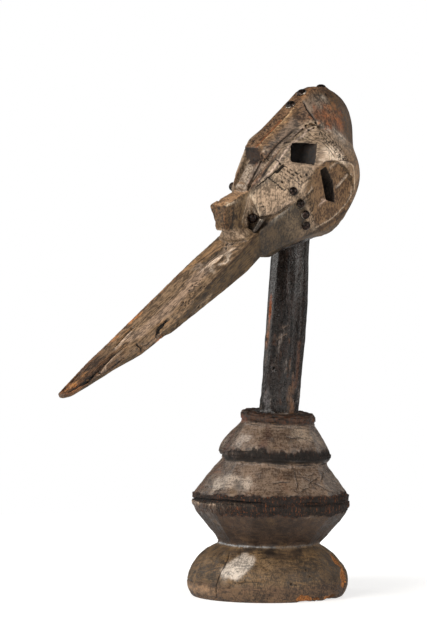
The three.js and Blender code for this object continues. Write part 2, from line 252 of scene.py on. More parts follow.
class WoodSkin:
    """The dense skin of the carving while relief is cut into it."""

    def __init__(self, mesh: bpy.types.Mesh, head: HeadFrame) -> None:
        """Reads a mesh.

        Args:
            mesh: The remeshed carving, in metres.
            head: The frame of the head.
        """
        self.mesh = mesh
        self.head_frame = head
        count = len(mesh.vertices)
        flat = np.zeros(count * 3, np.float32)
        mesh.vertices.foreach_get("co", flat)
        self.points = flat.reshape(-1, 3).astype(float) / MM
        pairs = np.zeros(len(mesh.edges) * 2, np.int32)
        mesh.edges.foreach_get("vertices", pairs)
        self.edges = pairs.reshape(-1, 2)
        self.degree = np.bincount(self.edges.ravel(), minlength=count).astype(float)
        self.marks = {mark: np.zeros(count) for mark in Mark}
        self.tones = {tone: np.zeros((count, 4)) for tone in Tone}
        self.layouts: dict["Chart", tuple[np.ndarray, np.ndarray]] = {}
        self.refresh()

    def refresh(self) -> None:
        """Writes the places into the mesh and reads its normals again."""
        self.mesh.vertices.foreach_set("co", (self.points * MM).astype(np.float32).ravel())
        self.mesh.update()
        flat = np.zeros(len(self.points) * 3, np.float32)
        self.mesh.vertex_normals.foreach_get("vector", flat)
        self.normals = flat.reshape(-1, 3).astype(float)
        self.layouts.clear()
        self.head = self.head_frame.enter(self.points)
        self.head_normals = self.head_frame.turn(self.normals)

    def layout(self, chart: "Chart") -> tuple[np.ndarray, np.ndarray]:
        """Lays the skin flat on a chart, and remembers the result until the skin is refreshed.

        Args:
            chart: The chart.

        Returns:
            N by 2 spots, and how much each place belongs to the chart.
        """
        if chart not in self.layouts:
            self.layouts[chart] = chart.lay(self)
        return self.layouts[chart]

    def average(self, values: np.ndarray) -> np.ndarray:
        """Averages values over each vertex's neighbours.

        Args:
            values: One row or number for each vertex.

        Returns:
            An array of the same shape.
        """
        return average_over(values, self.edges, self.degree)

    def soften(self, rounds: int, share: np.ndarray | float = 1.0) -> None:
        """Rounds the skin off as handling does.

        Args:
            rounds: How many times each place moves half-way to its neighbours' middle.
            share: How strongly each place takes part, from 0 to 1.
        """
        pull = 0.5 * np.broadcast_to(share, (len(self.points),))[:, None]
        for _ in range(rounds):
            self.points += (self.average(self.points) - self.points) * pull
        self.refresh()

    def round_off(self, width: float, share: np.ndarray) -> None:
        """Takes wide facets off a part of the skin and leaves the rest alone.

        Args:
            width: How far the rounding reaches, in mm.
            share: How strongly each place takes part, from 0 to 1.
        """
        chosen = np.flatnonzero(share > 0.0)
        number = np.full(len(self.points), -1)
        number[chosen] = np.arange(len(chosen))
        edges = number[self.edges]
        edges = edges[edges.min(axis=1) >= 0]
        degree = np.maximum(np.bincount(edges.ravel(), minlength=len(chosen)), 1).astype(float)
        points = self.points[chosen]
        spacing = np.linalg.norm(points[edges[:, 0]] - points[edges[:, 1]], axis=1).mean()
        pull = 0.5 * share[chosen, None]
        for _ in range(round(4.0 * (width / spacing) ** 2)):
            points += (average_over(points, edges, degree) - points) * pull
        self.points[chosen] = points
        self.refresh()

    def sink(self, depth: np.ndarray) -> None:
        """Moves the skin inwards by a depth in mm, or outwards where that is negative."""
        self.points -= self.normals * depth[:, None]

    def mark(self, mark: Mark, amount: np.ndarray) -> None:
        """Keeps the stronger of an old and a new mark at each place."""
        self.marks[mark] = np.maximum(self.marks[mark], amount)

    def tint(self, chosen: np.ndarray, share: np.ndarray, patina: "Patina") -> None:
        """Lays a patina over the colours that are there.

        Args:
            chosen: Numbers of the places it covers.
            share: How strongly it covers each of them.
            patina: The patina.
        """
        for tone, layer in self.tones.items():
            layer[chosen] += (patina.colour(tone) - layer[chosen]) * share[:, None]
        for mark, value in ((Mark.STREAK, patina.streaks), (Mark.SHINE, patina.shine)):
            layer = self.marks[mark]
            layer[chosen] += (value - layer[chosen]) * share

    def curvature(self, rounds: int) -> np.ndarray:
        """Tells edges from hollows.

        Args:
            rounds: How far the comparison reaches, in rounds of averaging.

        Returns:
            How far each place stands out of its surroundings, in mm; negative in a hollow.
        """
        smooth = self.points
        for _ in range(rounds):
            smooth = self.average(smooth)
        return np.einsum("ij,ij->i", self.points - smooth, self.normals)


@dataclass(frozen=True)
class SideChart:
    """Lays one side of head and beak flat, as seen from that side: place along Y, and height."""

    side: int = 1
    least: float = 0.3
    outer: float = 3.0

    def lay(self, skin: WoodSkin) -> tuple[np.ndarray, np.ndarray]:
        """Lays the skin flat.

        Args:
            skin: The carving's skin.

        Returns:
            N by 2 spots in the head frame, and how much each place belongs to the chart.
        """
        facing = ease(skin.head_normals[:, 0] * self.side, self.least, self.least + 0.25)
        there = ease(skin.head[:, 0] * self.side, self.outer, self.outer + 3.0)
        return skin.head[:, 1:3], facing * there


@dataclass(frozen=True)
class TopChart:
    """Lays upward faces flat, of the beak or of the crest: distance in front, and how far to the left."""

    least: float = 0.35
    low: float = -999.0
    high: float = 427.0

    def lay(self, skin: WoodSkin) -> tuple[np.ndarray, np.ndarray]:
        """Lays the skin flat.

        Args:
            skin: The carving's skin.

        Returns:
            N by 2 spots in the head frame, and how much each place belongs to the chart.
        """
        spots = np.stack([-skin.head[:, 1], skin.head[:, 0]], axis=1)
        facing = ease(skin.head_normals[:, 2], self.least, self.least + 0.25)
        return spots, facing * inside(skin.head[:, 2], self.low, self.high, 3.0)


@dataclass(frozen=True)
class RoundChart:
    """Unrolls the plinth or the neck: millimetres round it from the front towards the left, and height."""

    centre: Spot
    radius: float
    in_head_frame: bool = False
    reach: Spot = (0.0, 999.0)

    def lay(self, skin: WoodSkin) -> tuple[np.ndarray, np.ndarray]:
        """Lays the skin flat.

        Args:
            skin: The carving's skin.

        Returns:
            N by 2 spots, and how much each place belongs to the chart.
        """
        points = skin.head if self.in_head_frame else skin.points
        normals = skin.head_normals if self.in_head_frame else skin.normals
        x = points[:, 0] - self.centre[0]
        y = points[:, 1] - self.centre[1]
        away = np.hypot(x, y)
        spots = np.stack([np.arctan2(x, -y) * self.radius, points[:, 2]], axis=1)
        outward = (x * normals[:, 0] + y * normals[:, 1]) / np.maximum(away, 1e-6)
        near = inside(away, self.reach[0], self.reach[1], 1.0)
        return spots, ease(outward, -0.2, 0.2) * near


Chart = SideChart | TopChart | RoundChart


class CutForm(Enum):
    """Cross-section of a cut."""

    VEE = "vee"
    ROUND = "round"
    FLAT = "flat"

    def depth_at(self, share: np.ndarray) -> np.ndarray:
        """Gives the depth across the cut.

        Args:
            share: 0 on the cut's middle line, 1 at its edge.

        Returns:
            Share of the full depth.
        """
        left = np.clip(1.0 - share, 0.0, 1.0)
        if self is CutForm.VEE:
            return left
        if self is CutForm.ROUND:
            return 1.0 - (1.0 - left) ** 2
        return ease(left, 0.0, 0.45)


VEE, ROUND, FLAT = CutForm


def seed_at(spot: Spot) -> int:
    """Picks a noise pattern by where a mark starts, so that no two marks look the same."""
    return round(abs(spot[0]) * 13 + abs(spot[1]) * 7)


def follow(spots: np.ndarray, line: np.ndarray) -> tuple[np.ndarray, np.ndarray]:
    """Measures spots against an open line.

    Args:
        spots: N by 2 spots.
        line: K by 2 points.

    Returns:
        Each spot's distance to the line, and its share of the way along it.
    """
    steps = np.diff(line, axis=0)
    lengths = np.maximum(np.hypot(steps[:, 0], steps[:, 1]), 1e-6)
    before = np.concatenate([[0.0], np.cumsum(lengths)])
    best = np.full(len(spots), 1e9)
    along = np.zeros(len(spots))
    for start, step, length, done in zip(line[:-1], steps, lengths, before[:-1]):
        t = np.clip(((spots - start) @ step) / length**2, 0.0, 1.0)
        gap = spots - start - t[:, None] * step
        distance = np.hypot(gap[:, 0], gap[:, 1])
        closer = distance < best
        best[closer] = distance[closer]
        along[closer] = (done + t[closer] * length) / before[-1]
    return best, along


def curve_through(points: list[Spot] | tuple[Spot, ...], steps: int = 5) -> np.ndarray:
    """Draws a smooth line through points.

    Args:
        points: Two or more spots.
        steps: Pieces between two of them.

    Returns:
        The line's points.
    """
    ends = np.array([points[0], *points, points[-1]], float)
    line = []
    for a, b, c, d in zip(ends[:-3], ends[1:-2], ends[2:-1], ends[3:]):
        for step in range(steps):
            t = step / steps
            line.append(
                0.5 * (2 * b + (c - a) * t + (2 * a - 5 * b + 4 * c - d) * t**2 + (3 * b - a - 3 * c + d) * t**3)
            )
    line.append(ends[-1])
    return np.array(line)


@dataclass(frozen=True)
class Stroke:
    """A cut that follows a line: a crack, an incised line, a groove or, with a negative depth, a ridge."""

    line: tuple[Spot, ...]
    width: float
    depth: float
    form: CutForm = VEE
    wander: float = 0.0
    tapered: bool = True
    dirt_and_shade: float = 1.0

    def cut(self, skin: WoodSkin, chart: Chart) -> None:
        """Cuts the line into the skin.

        Args:
            skin: The carving's skin.
            chart: Where the line's spots lie.
        """
        spots, belongs = skin.layout(chart)
        line = curve_through(self.line)
        margin = self.width + self.wander + 1.0
        low, high = line.min(0) - margin, line.max(0) + margin
        near = np.all((spots > low) & (spots < high), axis=1) & (belongs > 0.01)
        chosen = np.nonzero(near)[0]
        if not len(chosen):
            return
        moved = spots[chosen].copy()
        if self.wander:
            for axis in range(2):
                moved[:, axis] += self.wander * value_noise(skin.points[chosen], 6.0, seed_at(self.line[0]) + axis)
        distance, along = follow(moved, line)
        ends = np.minimum(ease(along, 0.0, 0.18), ease(along, 1.0, 0.82)) if self.tapered else 1.0
        share = distance / (self.width * 0.5)
        amount = self.form.depth_at(share) * belongs[chosen] * ends
        skin.points[chosen] -= skin.normals[chosen] * (amount * self.depth)[:, None]
        # The cut's darkening stands for dirt and painted shade in it.
        if self.depth > 0:
            skin.marks[Mark.CUT][chosen] = np.maximum(skin.marks[Mark.CUT][chosen], amount * self.dirt_and_shade)


@dataclass(frozen=True)
class Pit:
    """A hole, a dent or a chip, round or oval."""

    spot: Spot
    radius: float
    depth: float
    stretch: float = 1.0
    turn_deg: float = 0.0
    form: CutForm = FLAT
    rough: float = 0.25
    dirt_and_shade: float = 1.0
    raw: float = 0.0

    def cut(self, skin: WoodSkin, chart: Chart) -> None:
        """Cuts the hole into the skin.

        Args:
            skin: The carving's skin.
            chart: Where the hole's spot lies.
        """
        spots, belongs = skin.layout(chart)
        offset = spots - np.array(self.spot)
        reach = self.radius * max(1.0, self.stretch) * (1.0 + self.rough) + 1.0
        chosen = np.nonzero((np.abs(offset).max(1) < reach) & (belongs > 0.01))[0]
        if not len(chosen):
            return
        turn = math.radians(self.turn_deg)
        offset = offset[chosen]
        along = (offset[:, 0] * math.cos(turn) + offset[:, 1] * math.sin(turn)) / self.stretch
        across = -offset[:, 0] * math.sin(turn) + offset[:, 1] * math.cos(turn)
        distance = np.hypot(along, across) / self.radius
        distance += self.rough * value_noise(skin.points[chosen], max(1.5, self.radius * 0.7), seed_at(self.spot))
        amount = self.form.depth_at(distance) * belongs[chosen]
        skin.points[chosen] -= skin.normals[chosen] * (amount * self.depth)[:, None]
        # The hole's darkening stands for dirt and painted shade in it.
        for mark, strength in ((Mark.CUT, self.dirt_and_shade), (Mark.RAW, self.raw)):
            skin.marks[mark][chosen] = np.maximum(skin.marks[mark][chosen], amount * strength)


Relief = Stroke | Pit


@dataclass(frozen=True)
class Patina:
    """Colours and shine of one stretch of the wood, in sRGB hex digits."""

    dark: str
    light: str
    streak: str
    worn: str
    streaks: float
    shine: float

    def colour(self, tone: Tone) -> np.ndarray:
        """Picks one of the colours, in linear light."""
        named = {Tone.DARK: self.dark, Tone.LIGHT: self.light, Tone.STREAK: self.streak, Tone.WORN: self.worn}
        return np.array(linear(named[tone]))


def shaded(hex_colour: str, factor: float) -> str:
    """Makes a screen colour darker or lighter by a factor."""
    parts = [int(hex_colour[i : i + 2], 16) for i in (0, 2, 4)]
    return "".join(f"{min(255, round(part * factor)):02x}" for part in parts)


def stain(colour: str, shine: float) -> Patina:
    """Makes a patina that is one colour, a little uneven."""
    return Patina(shaded(colour, 0.7), shaded(colour, 1.2), shaded(colour, 0.6), shaded(colour, 1.15), 0.15, shine)


@dataclass(frozen=True)
class Wash:
    """A stain, a rubbed edge, settled dust, a painted highlight or a painted shadow that follows a line, with ragged
    sides.
    """

    line: tuple[Spot, ...]
    width: float
    colour: str
    strength: float = 0.7
    ragged: float = 0.5
    shine: float = 0.35

    def lay(self, skin: WoodSkin, chart: Chart) -> None:
        """Colours the skin along the line.

        Args:
            skin: The carving's skin.
            chart: Where the line's spots lie.
        """
        spots, belongs = skin.layout(chart)
        line = curve_through(self.line)
        reach = self.width * (0.6 + self.ragged) + 1.0
        low, high = line.min(0) - reach, line.max(0) + reach
        near = np.all((spots > low) & (spots < high), axis=1) & (belongs > 0.01)
        chosen = np.nonzero(near)[0]
        if not len(chosen):
            return
        distance, _ = follow(spots[chosen], line)
        share = distance / (self.width * 0.5)
        share += self.ragged * layered_noise(skin.points[chosen], max(2.4, self.width * 0.5), seed_at(self.line[0]))
        amount = ease(share, 1.2, 0.6) * belongs[chosen] * self.strength
        skin.tint(chosen, amount, stain(self.colour, self.shine))


HEAD_WOOD = Patina(dark="5a4a3a", light="a38b73", streak="5c4938", worn="bca68a", streaks=0.2, shine=0.45)
# Painted highlight: the head above the slot is painted very pale where light from behind on the right falls on it.
ABOVE_SLOT_PAINTED_HIGHLIGHT = Patina(dark="c0a68e", light="ffe9d0", streak="c8ad94", worn="fff0dc", streaks=0.15, shine=0.55)
BROW_WOOD = Patina(dark="4c3f33", light="93806a", streak="514133", worn="bba690", streaks=0.25, shine=0.45)
CREST_WOOD = Patina(dark="34261d", light="785e49", streak="3d2c20", worn="9f7d61", streaks=0.3, shine=0.42)
CREST_TOP_WOOD = Patina(dark="3c281a", light="86664a", streak="24170f", worn="a5876a", streaks=0.45, shine=0.4)
# End grain and painted shade: the crest's front end and the overhang below it are painted near black.
CREST_END_GRAIN_IN_SHADE = Patina(dark="100b08", light="34251b", streak="1d140f", worn="4a3629", streaks=0.3, shine=0.2)
ROLL_WOOD = Patina(dark="655648", light="a08f7e", streak="6c5642", worn="bcac9a", streaks=0.2, shine=0.66)
DOME_WOOD = Patina(dark="312821", light="6e5c4b", streak="814a21", worn="816b53", streaks=0.08, shine=0.5)
DOME_REAR_WOOD = Patina(dark="2f2116", light="634a31", streak="6c4626", worn="6f5437", streaks=0.2, shine=0.4)
EAR_WOOD = Patina(dark="3e2c1e", light="846648", streak="4d3520", worn="9d7b57", streaks=0.25, shine=0.4)
JAW_WOOD = Patina(dark="1c150d", light="4c3d2a", streak="2b1d12", worn="4b3827", streaks=0.25, shine=0.55)
NOSE_WOOD = Patina(dark="33261a", light="705a40", streak="442e1d", worn="9a7959", streaks=0.25, shine=0.45)
NOSE_END_WOOD = Patina(dark="18110b", light="665039", streak="80542e", worn="8a5a34", streaks=0.4, shine=0.22)
BEAK_WOOD = Patina(dark="453627", light="856c52", streak="4a3827", worn="9c6e41", streaks=0.35, shine=0.42)
# Painted shade: the beak's side faces and the head's undersides are painted darker than the top.
BEAK_SIDE_WOOD_IN_SHADE = Patina(dark="2e2216", light="604c33", streak="3a2a1a", worn="7e5936", streaks=0.35, shine=0.35)
BEAK_FRONT_WOOD = Patina(dark="2a1e15", light="57412e", streak="2d1f13", worn="6f4726", streaks=0.4, shine=0.42)
# Painted shade and soot: the insides of the square hole and of the slot are painted dark.
WINDOW_SOOT_AND_SHADE = Patina(dark="0a0807", light="2e2219", streak="14100d", worn="33281f", streaks=0.3, shine=0.3)
SLOT_SOOT_AND_SHADE = Patina(dark="1a1511", light="4a3f37", streak="2a221c", worn="5a4c42", streaks=0.5, shine=0.3)
NECK_WOOD = Patina(dark="090605", light="1e1510", streak="412011", worn="4a3325", streaks=0.16, shine=0.86)
TIER_WOOD = Patina(dark="46382e", light="7a6655", streak="4a3222", worn="8a725c", streaks=0.3, shine=0.76)
WAIST_WOOD = Patina(dark="261b14", light="4a382a", streak="3e2819", worn="4c392a", streaks=0.25, shine=0.4)
FOOT_WOOD = Patina(dark="2a2014", light="70583c", streak="463019", worn="785836", streaks=0.25, shine=0.45)
FOOT_BAND_WOOD = Patina(dark="261b13", light="634c37", streak="7c5e46", worn="7c5e45", streaks=0.3, shine=0.35)
DRUM_LIP_WOOD = Patina(dark="1a120d", light="3a2618", streak="7a4420", worn="4a3222", streaks=0.3, shine=0.4)
TIER_LIP_WOOD = Patina(dark="0e0b0a", light="241a15", streak="3c2416", worn="3a2c24", streaks=0.3, shine=0.45)
RIM_WOOD = Patina(dark="100a06", light="3c2415", streak="5e3218", worn="62452e", streaks=0.4, shine=0.45)


@dataclass
class Beak:
    """The long beak: its worn top with the eaten channel, its broken near edge, its splits and its tip."""

    top_line: tuple[Spot, ...] = ((98, 421.5), (140, 391), (180, 362), (228, 328), (262, 306), (300, 283), (363, 245.5))
    half_line: tuple[Spot, ...] = ((98, 26.3), (140, 29), (180, 29.5), (220, 28), (262, 24.2), (300, 19), (363, 5.5))
    deep_line: tuple[Spot, ...] = ((98, 39.5), (140, 33.5), (180, 27), (228, 20), (262, 18), (300, 12), (363, 4))
    broken_back: tuple[Spot, ...] = ((192, 0), (206, 4), (224, 7.5), (262, 7), (300, 5), (335, 3), (350, 0))
    slope_deg: float = 33.6
    bevel_deg: float = 48.0
    side_end: Spot = (194.0, 218.0)

    def zone(self, skin: WoodSkin) -> np.ndarray:
        """Marks the beak.

        Args:
            skin: The carving's skin.

        Returns:
            1 on the beak, 0 off it.
        """
        front = -skin.head[:, 1]
        top = np.interp(front, *np.array(self.top_line).T)
        return ease(front, 88.0, 97.0) * ease(skin.head[:, 2] - top, 7.0, 2.0)

    def down_the_side(self, skin: WoodSkin) -> np.ndarray:
        """Tells how far down the side a place is: 0 at the top edge, 1 at the low edge."""
        front = -skin.head[:, 1]
        top = np.interp(front, *np.array(self.top_line).T)
        deep = np.interp(front, *np.array(self.deep_line).T)
        return np.clip((top - skin.head[:, 2]) / deep, 0.0, 1.0)

    def side_shade_zone(self, skin: WoodSkin) -> np.ndarray:
        """Marks where the side faces and the underside are painted in shade; the near side's painted shade narrows to
        nothing where that side is broken away, and there the side is painted like the lit top.

        Args:
            skin: The carving's skin.

        Returns:
            1 where the side faces and the underside are painted in shade, 0 off them.
        """
        front = -skin.head[:, 1] + 2.0 * layered_noise(skin.points, 6.0, 331)
        down = self.down_the_side(skin)
        start, end = self.side_end
        left = ease(front, start + (end - start) * down + 3.0, start + (end - start) * down)
        near = np.where(skin.head[:, 0] > 0, left, 1.0)
        side = ease(np.abs(skin.head_normals[:, 0]), 0.5, 0.72)
        under = ease(skin.head_normals[:, 2], -0.15, -0.45)
        return np.maximum(side * near, under)

    def break_edge(self, skin: WoodSkin) -> None:
        """Cuts the broken near edge back to a slope.

        Args:
            skin: The carving's skin.
        """
        front = -skin.head[:, 1]
        slope, bevel = math.radians(self.slope_deg), math.radians(self.bevel_deg)
        above = (skin.head[:, 2] - np.interp(front, *np.array(self.top_line).T)) * math.cos(slope)
        edge = np.interp(front, *np.array(self.half_line).T) - np.interp(front, *np.array(self.broken_back).T)
        uneven = 1.3 * layered_noise(skin.points, 13.0, 335, 3)
        over = (skin.head[:, 0] - edge - uneven) * math.sin(bevel) + above * math.cos(bevel)
        lost = np.clip(over, 0.0, None) * inside(front, 194.0, 346.0, 6.0) * ease(skin.head[:, 0], 2.0, 4.0)
        outward = np.array([math.sin(bevel), -math.cos(bevel) * math.sin(slope), math.cos(bevel) * math.cos(slope)])
        skin.points -= lost[:, None] * (outward @ skin.head_frame.axes())
        skin.soften(2, ease(lost, 0.0, 0.6))

    def eaten(self) -> list[Relief]:
        """Gives the channel that insects ate at the root, with its lips and loops, and the wormy patches."""
        reliefs: list[Relief] = [
            Stroke(((116, 1), (123, 0.5), (131, -2.5), (141, -5), (150, -8)), 13, 3.4, FLAT, 1.0, dirt_and_shade=0.12),
            Stroke(((113, -5.5), (119, -9), (126, -12), (137, -14), (148, -17)), 2.2, 2.0, VEE, 0.9, dirt_and_shade=0.8),
            Stroke(((121, 11.5), (130, 9.5), (136, 6.5), (146, 3.7), (158, 0.5)), 3.0, -1.5, ROUND, 1.0),
            Stroke(((128, 14), (134, 16.5), (138, 22), (143, 22.5), (146, 15)), 2.2, -1.0, ROUND, 0.8),
            Stroke(((144, 6.5), (151, 9), (156, 12.6), (155, 16.8)), 2.2, -1.0, ROUND, 0.8),
            Stroke(((118, 6), (117, 12), (116, 19)), 1.7, 1.6, VEE, 0.6),
            Stroke(((124, 13), (120, 19), (118, 23)), 1.7, 1.6, VEE, 0.6),
            Stroke(((132, 12), (140, 11), (147, 10)), 1.8, 1.4, VEE, 1.0),
            Stroke(((153, -24), (150, -19), (148, -14.5)), 2.0, 2.0, VEE, 0.7),
            Pit((114.5, -2.5), 2.0, 1.6, 1.4, 30, rough=0.5),
            Pit((113.5, 4.5), 2.2, 1.6, 1.6, 60, rough=0.5),
            Pit((119, -1), 1.5, 1.2, rough=0.5),
        ]
        rng = np.random.default_rng(23)
        for middle, spread, count in (((172, 10.5), 6.0, 20), ((190, 17), 7.0, 16), ((203, 22), 7.0, 18), ((178, 24), 4.0, 8)):
            for number in range(count):
                spot = (middle[0] + rng.normal(0, spread), middle[1] + rng.normal(0, spread * 0.45))
                reliefs.append(Pit(spot, rng.uniform(0.6, 1.0), 1.3, rng.uniform(1, 2.2), rng.uniform(0, 180), rough=0.3))
        return reliefs

    def splits(self) -> list[Relief]:
        """Gives the splits along the grain and the holes towards the tip."""
        return [
            Stroke(((170, -2), (200, 2), (236, 3), (262, 5)), 1.1, 0.8, VEE, 0.7, dirt_and_shade=0.5),
            Stroke(((160, -9), (196, -6), (232, -7)), 1.0, 0.7, VEE, 0.7, dirt_and_shade=0.4),
            Stroke(((185, 8), (220, 12), (250, 13)), 1.0, 0.7, VEE, 0.7, dirt_and_shade=0.4),
            Stroke(((249.5, -12), (262, -9.5), (283, -3.5)), 3.6, 2.4, FLAT, 0.4, dirt_and_shade=0.7),
            Stroke(((253, -8.2), (266, -5.6), (286, -1.4)), 1.8, -0.7, ROUND, 0.3),
            Pit((250, -11.6), 1.9, 3.4, 1.3, 20, rough=0.2),
            Stroke(((266, 7.4), (273, 7), (293.7, 5.7), (311.8, 7.1), (325.5, 9), (340.8, 10), (356, 7)), 4.4, 4.4, ROUND, 0.3),
            Stroke(((300, 7.5), (311.8, 8), (325.5, 8.5), (344, 8), (360, 6)), 6.4, 4.4, FLAT, 0.5),
            Stroke(((286, 10.5), (304, 11.5), (322, 14), (334, 13.5)), 1.6, -0.6, ROUND, 0.4),
            Stroke(((317, 17.5), (319, 14.5), (320.6, 11)), 1.8, 2.0, VEE, 0.4),
            Stroke(((324, -10.8), (335, -9), (346, -5.8)), 5.0, 4.0, FLAT, 0.5),
            Stroke(((342, -8), (352, -5), (360, -2.5)), 3.0, 2.4, VEE, 0.6, dirt_and_shade=0.7),
            Pit((354, -1), 3.4, 1.4, 1.3, 20, ROUND, rough=0.6, dirt_and_shade=0.2, raw=0.9),
            Pit((346, 3), 2.6, 1.1, 1.8, 10, ROUND, rough=0.6, dirt_and_shade=0.1, raw=0.8),
        ]

    def near_side(self) -> list[Relief]:
        """Gives the breaks, the notch and the holes of the near side."""
        reliefs: list[Relief] = [
            # The first groove runs along the broken near edge; its darkening is a painted shadow line.
            Stroke(((-223, 331), (-239, 318), (-250, 305), (-261, 298), (-268, 297)), 4.4, 2.6, FLAT, 1.0, dirt_and_shade=0.75),
            Stroke(((-272, 301), (-268, 295), (-263, 288)), 3.4, 3.6, VEE, 0.6),
            Stroke(((-286, 287), (-300, 277), (-312, 270)), 3.0, 1.6, FLAT, 1.0, dirt_and_shade=0.5),
            Stroke(((-160, 352), (-176, 346), (-192, 330)), 5.0, 1.2, ROUND, 1.6, dirt_and_shade=0.1),
            Pit((-181, 341), 2.2, 2.0, 1.5, 40, rough=0.4),
            Pit((-194, 331), 2.2, 2.4, 1.6, 60, rough=0.4),
            Pit((-236, 307), 3.4, 1.8, 1.5, 35, rough=0.5, dirt_and_shade=0.5, raw=0.5),
            Pit((-214, 322), 3.0, 2.0, 2.0, -33, rough=0.5, dirt_and_shade=0.5, raw=0.2),
        ]
        return reliefs

    def carve(self, skin: WoodSkin) -> None:
        """Cuts the beak's relief.

        Args:
            skin: The carving's skin.
        """
        self.break_edge(skin)
        for relief in self.eaten() + self.splits():
            relief.cut(skin, TopChart())
        for relief in self.near_side():
            relief.cut(skin, SideChart(1, 0.1))

    def washes(self) -> list[tuple[Wash, Chart]]:
        """Gives the rubbed, stained and raw places of the beak."""
        top, side, far = TopChart(), SideChart(1, 0.1), SideChart(-1, 0.1)
        return [
            (Wash(((120, 12), (130, 9.8), (137, 6.8), (147, 3.9), (158, 0.8)), 4.0, "c9b4a0", 0.85, 0.4, 0.5), top),
            (Wash(((128, 14), (134, 16.5), (138, 22), (143, 22.5), (146, 15)), 2.6, "cdbba8", 0.8, 0.4, 0.5), top),
            (Wash(((144, 6.5), (151, 9), (156, 12.6), (155, 16.8)), 2.6, "c9b6a2", 0.8, 0.4, 0.5), top),
            (Wash(((116, 1), (126, -1), (140, -5), (152, -9)), 11.0, "76695e", 0.6, 0.4, 0.4), top),
            (Wash(((104, -14), (113, -16), (124, -18), (140, -20), (156, -22)), 7.0, "8c6a44", 0.6, 0.5, 0.4), top),
            (Wash(((156, -25), (204, -25.5), (250, -22.5), (300, -15.5), (345, -8)), 2.6, "8c5c36", 0.5, 0.9, 0.35), top),
            (Wash(((228, -24), (236, -23.6), (244, -22.7)), 4.0, "b06c34", 0.7, 0.8, 0.3), top),
            (Wash(((264, -19.3), (274, -17.8)), 3.0, "a4652f", 0.7, 0.8, 0.3), top),
            (Wash(((165, 5), (200, 8), (240, 6), (262, 4)), 20.0, "9c8471", 0.5, 0.5, 0.45), top),
            (Wash(((256, -7.5), (270, -4), (288, -0.8)), 2.2, "b7a08c", 0.8, 0.3, 0.45), top),
            (Wash(((286, 10.5), (304, 11.6), (322, 14), (334, 13.5)), 2.0, "a9917c", 0.7, 0.3, 0.45), top),
            (Wash(((346, -6), (356, -2), (362, 1)), 9.0, "6a3f1e", 0.6, 0.9, 0.3), top),
            (Wash(((326, -2), (346, 1), (360, 1)), 3.0, "a07040", 0.6, 0.6, 0.3), top),
            (Wash(((-243, 307), (-250, 303), (-258, 298)), 9.0, "8e7560", 0.6, 0.5, 0.4), side),
            (Wash(((-236, 307), (-240, 303)), 5.0, "b9702f", 0.85, 0.6, 0.3), side),
            (Wash(((-165, 352), (-180, 343), (-192, 333)), 8.0, "86725c", 0.55, 0.7, 0.35), side),
            (Wash(((-98, 420.5), (-140, 390), (-180, 361)), 2.2, "2a1c12", 0.8, 0.4, 0.4), SideChart(1, 0.0)),
            (Wash(((-340, 256), (-352, 248), (-362, 243)), 5.0, "6e4424", 0.6, 0.9, 0.3), side),
        ]


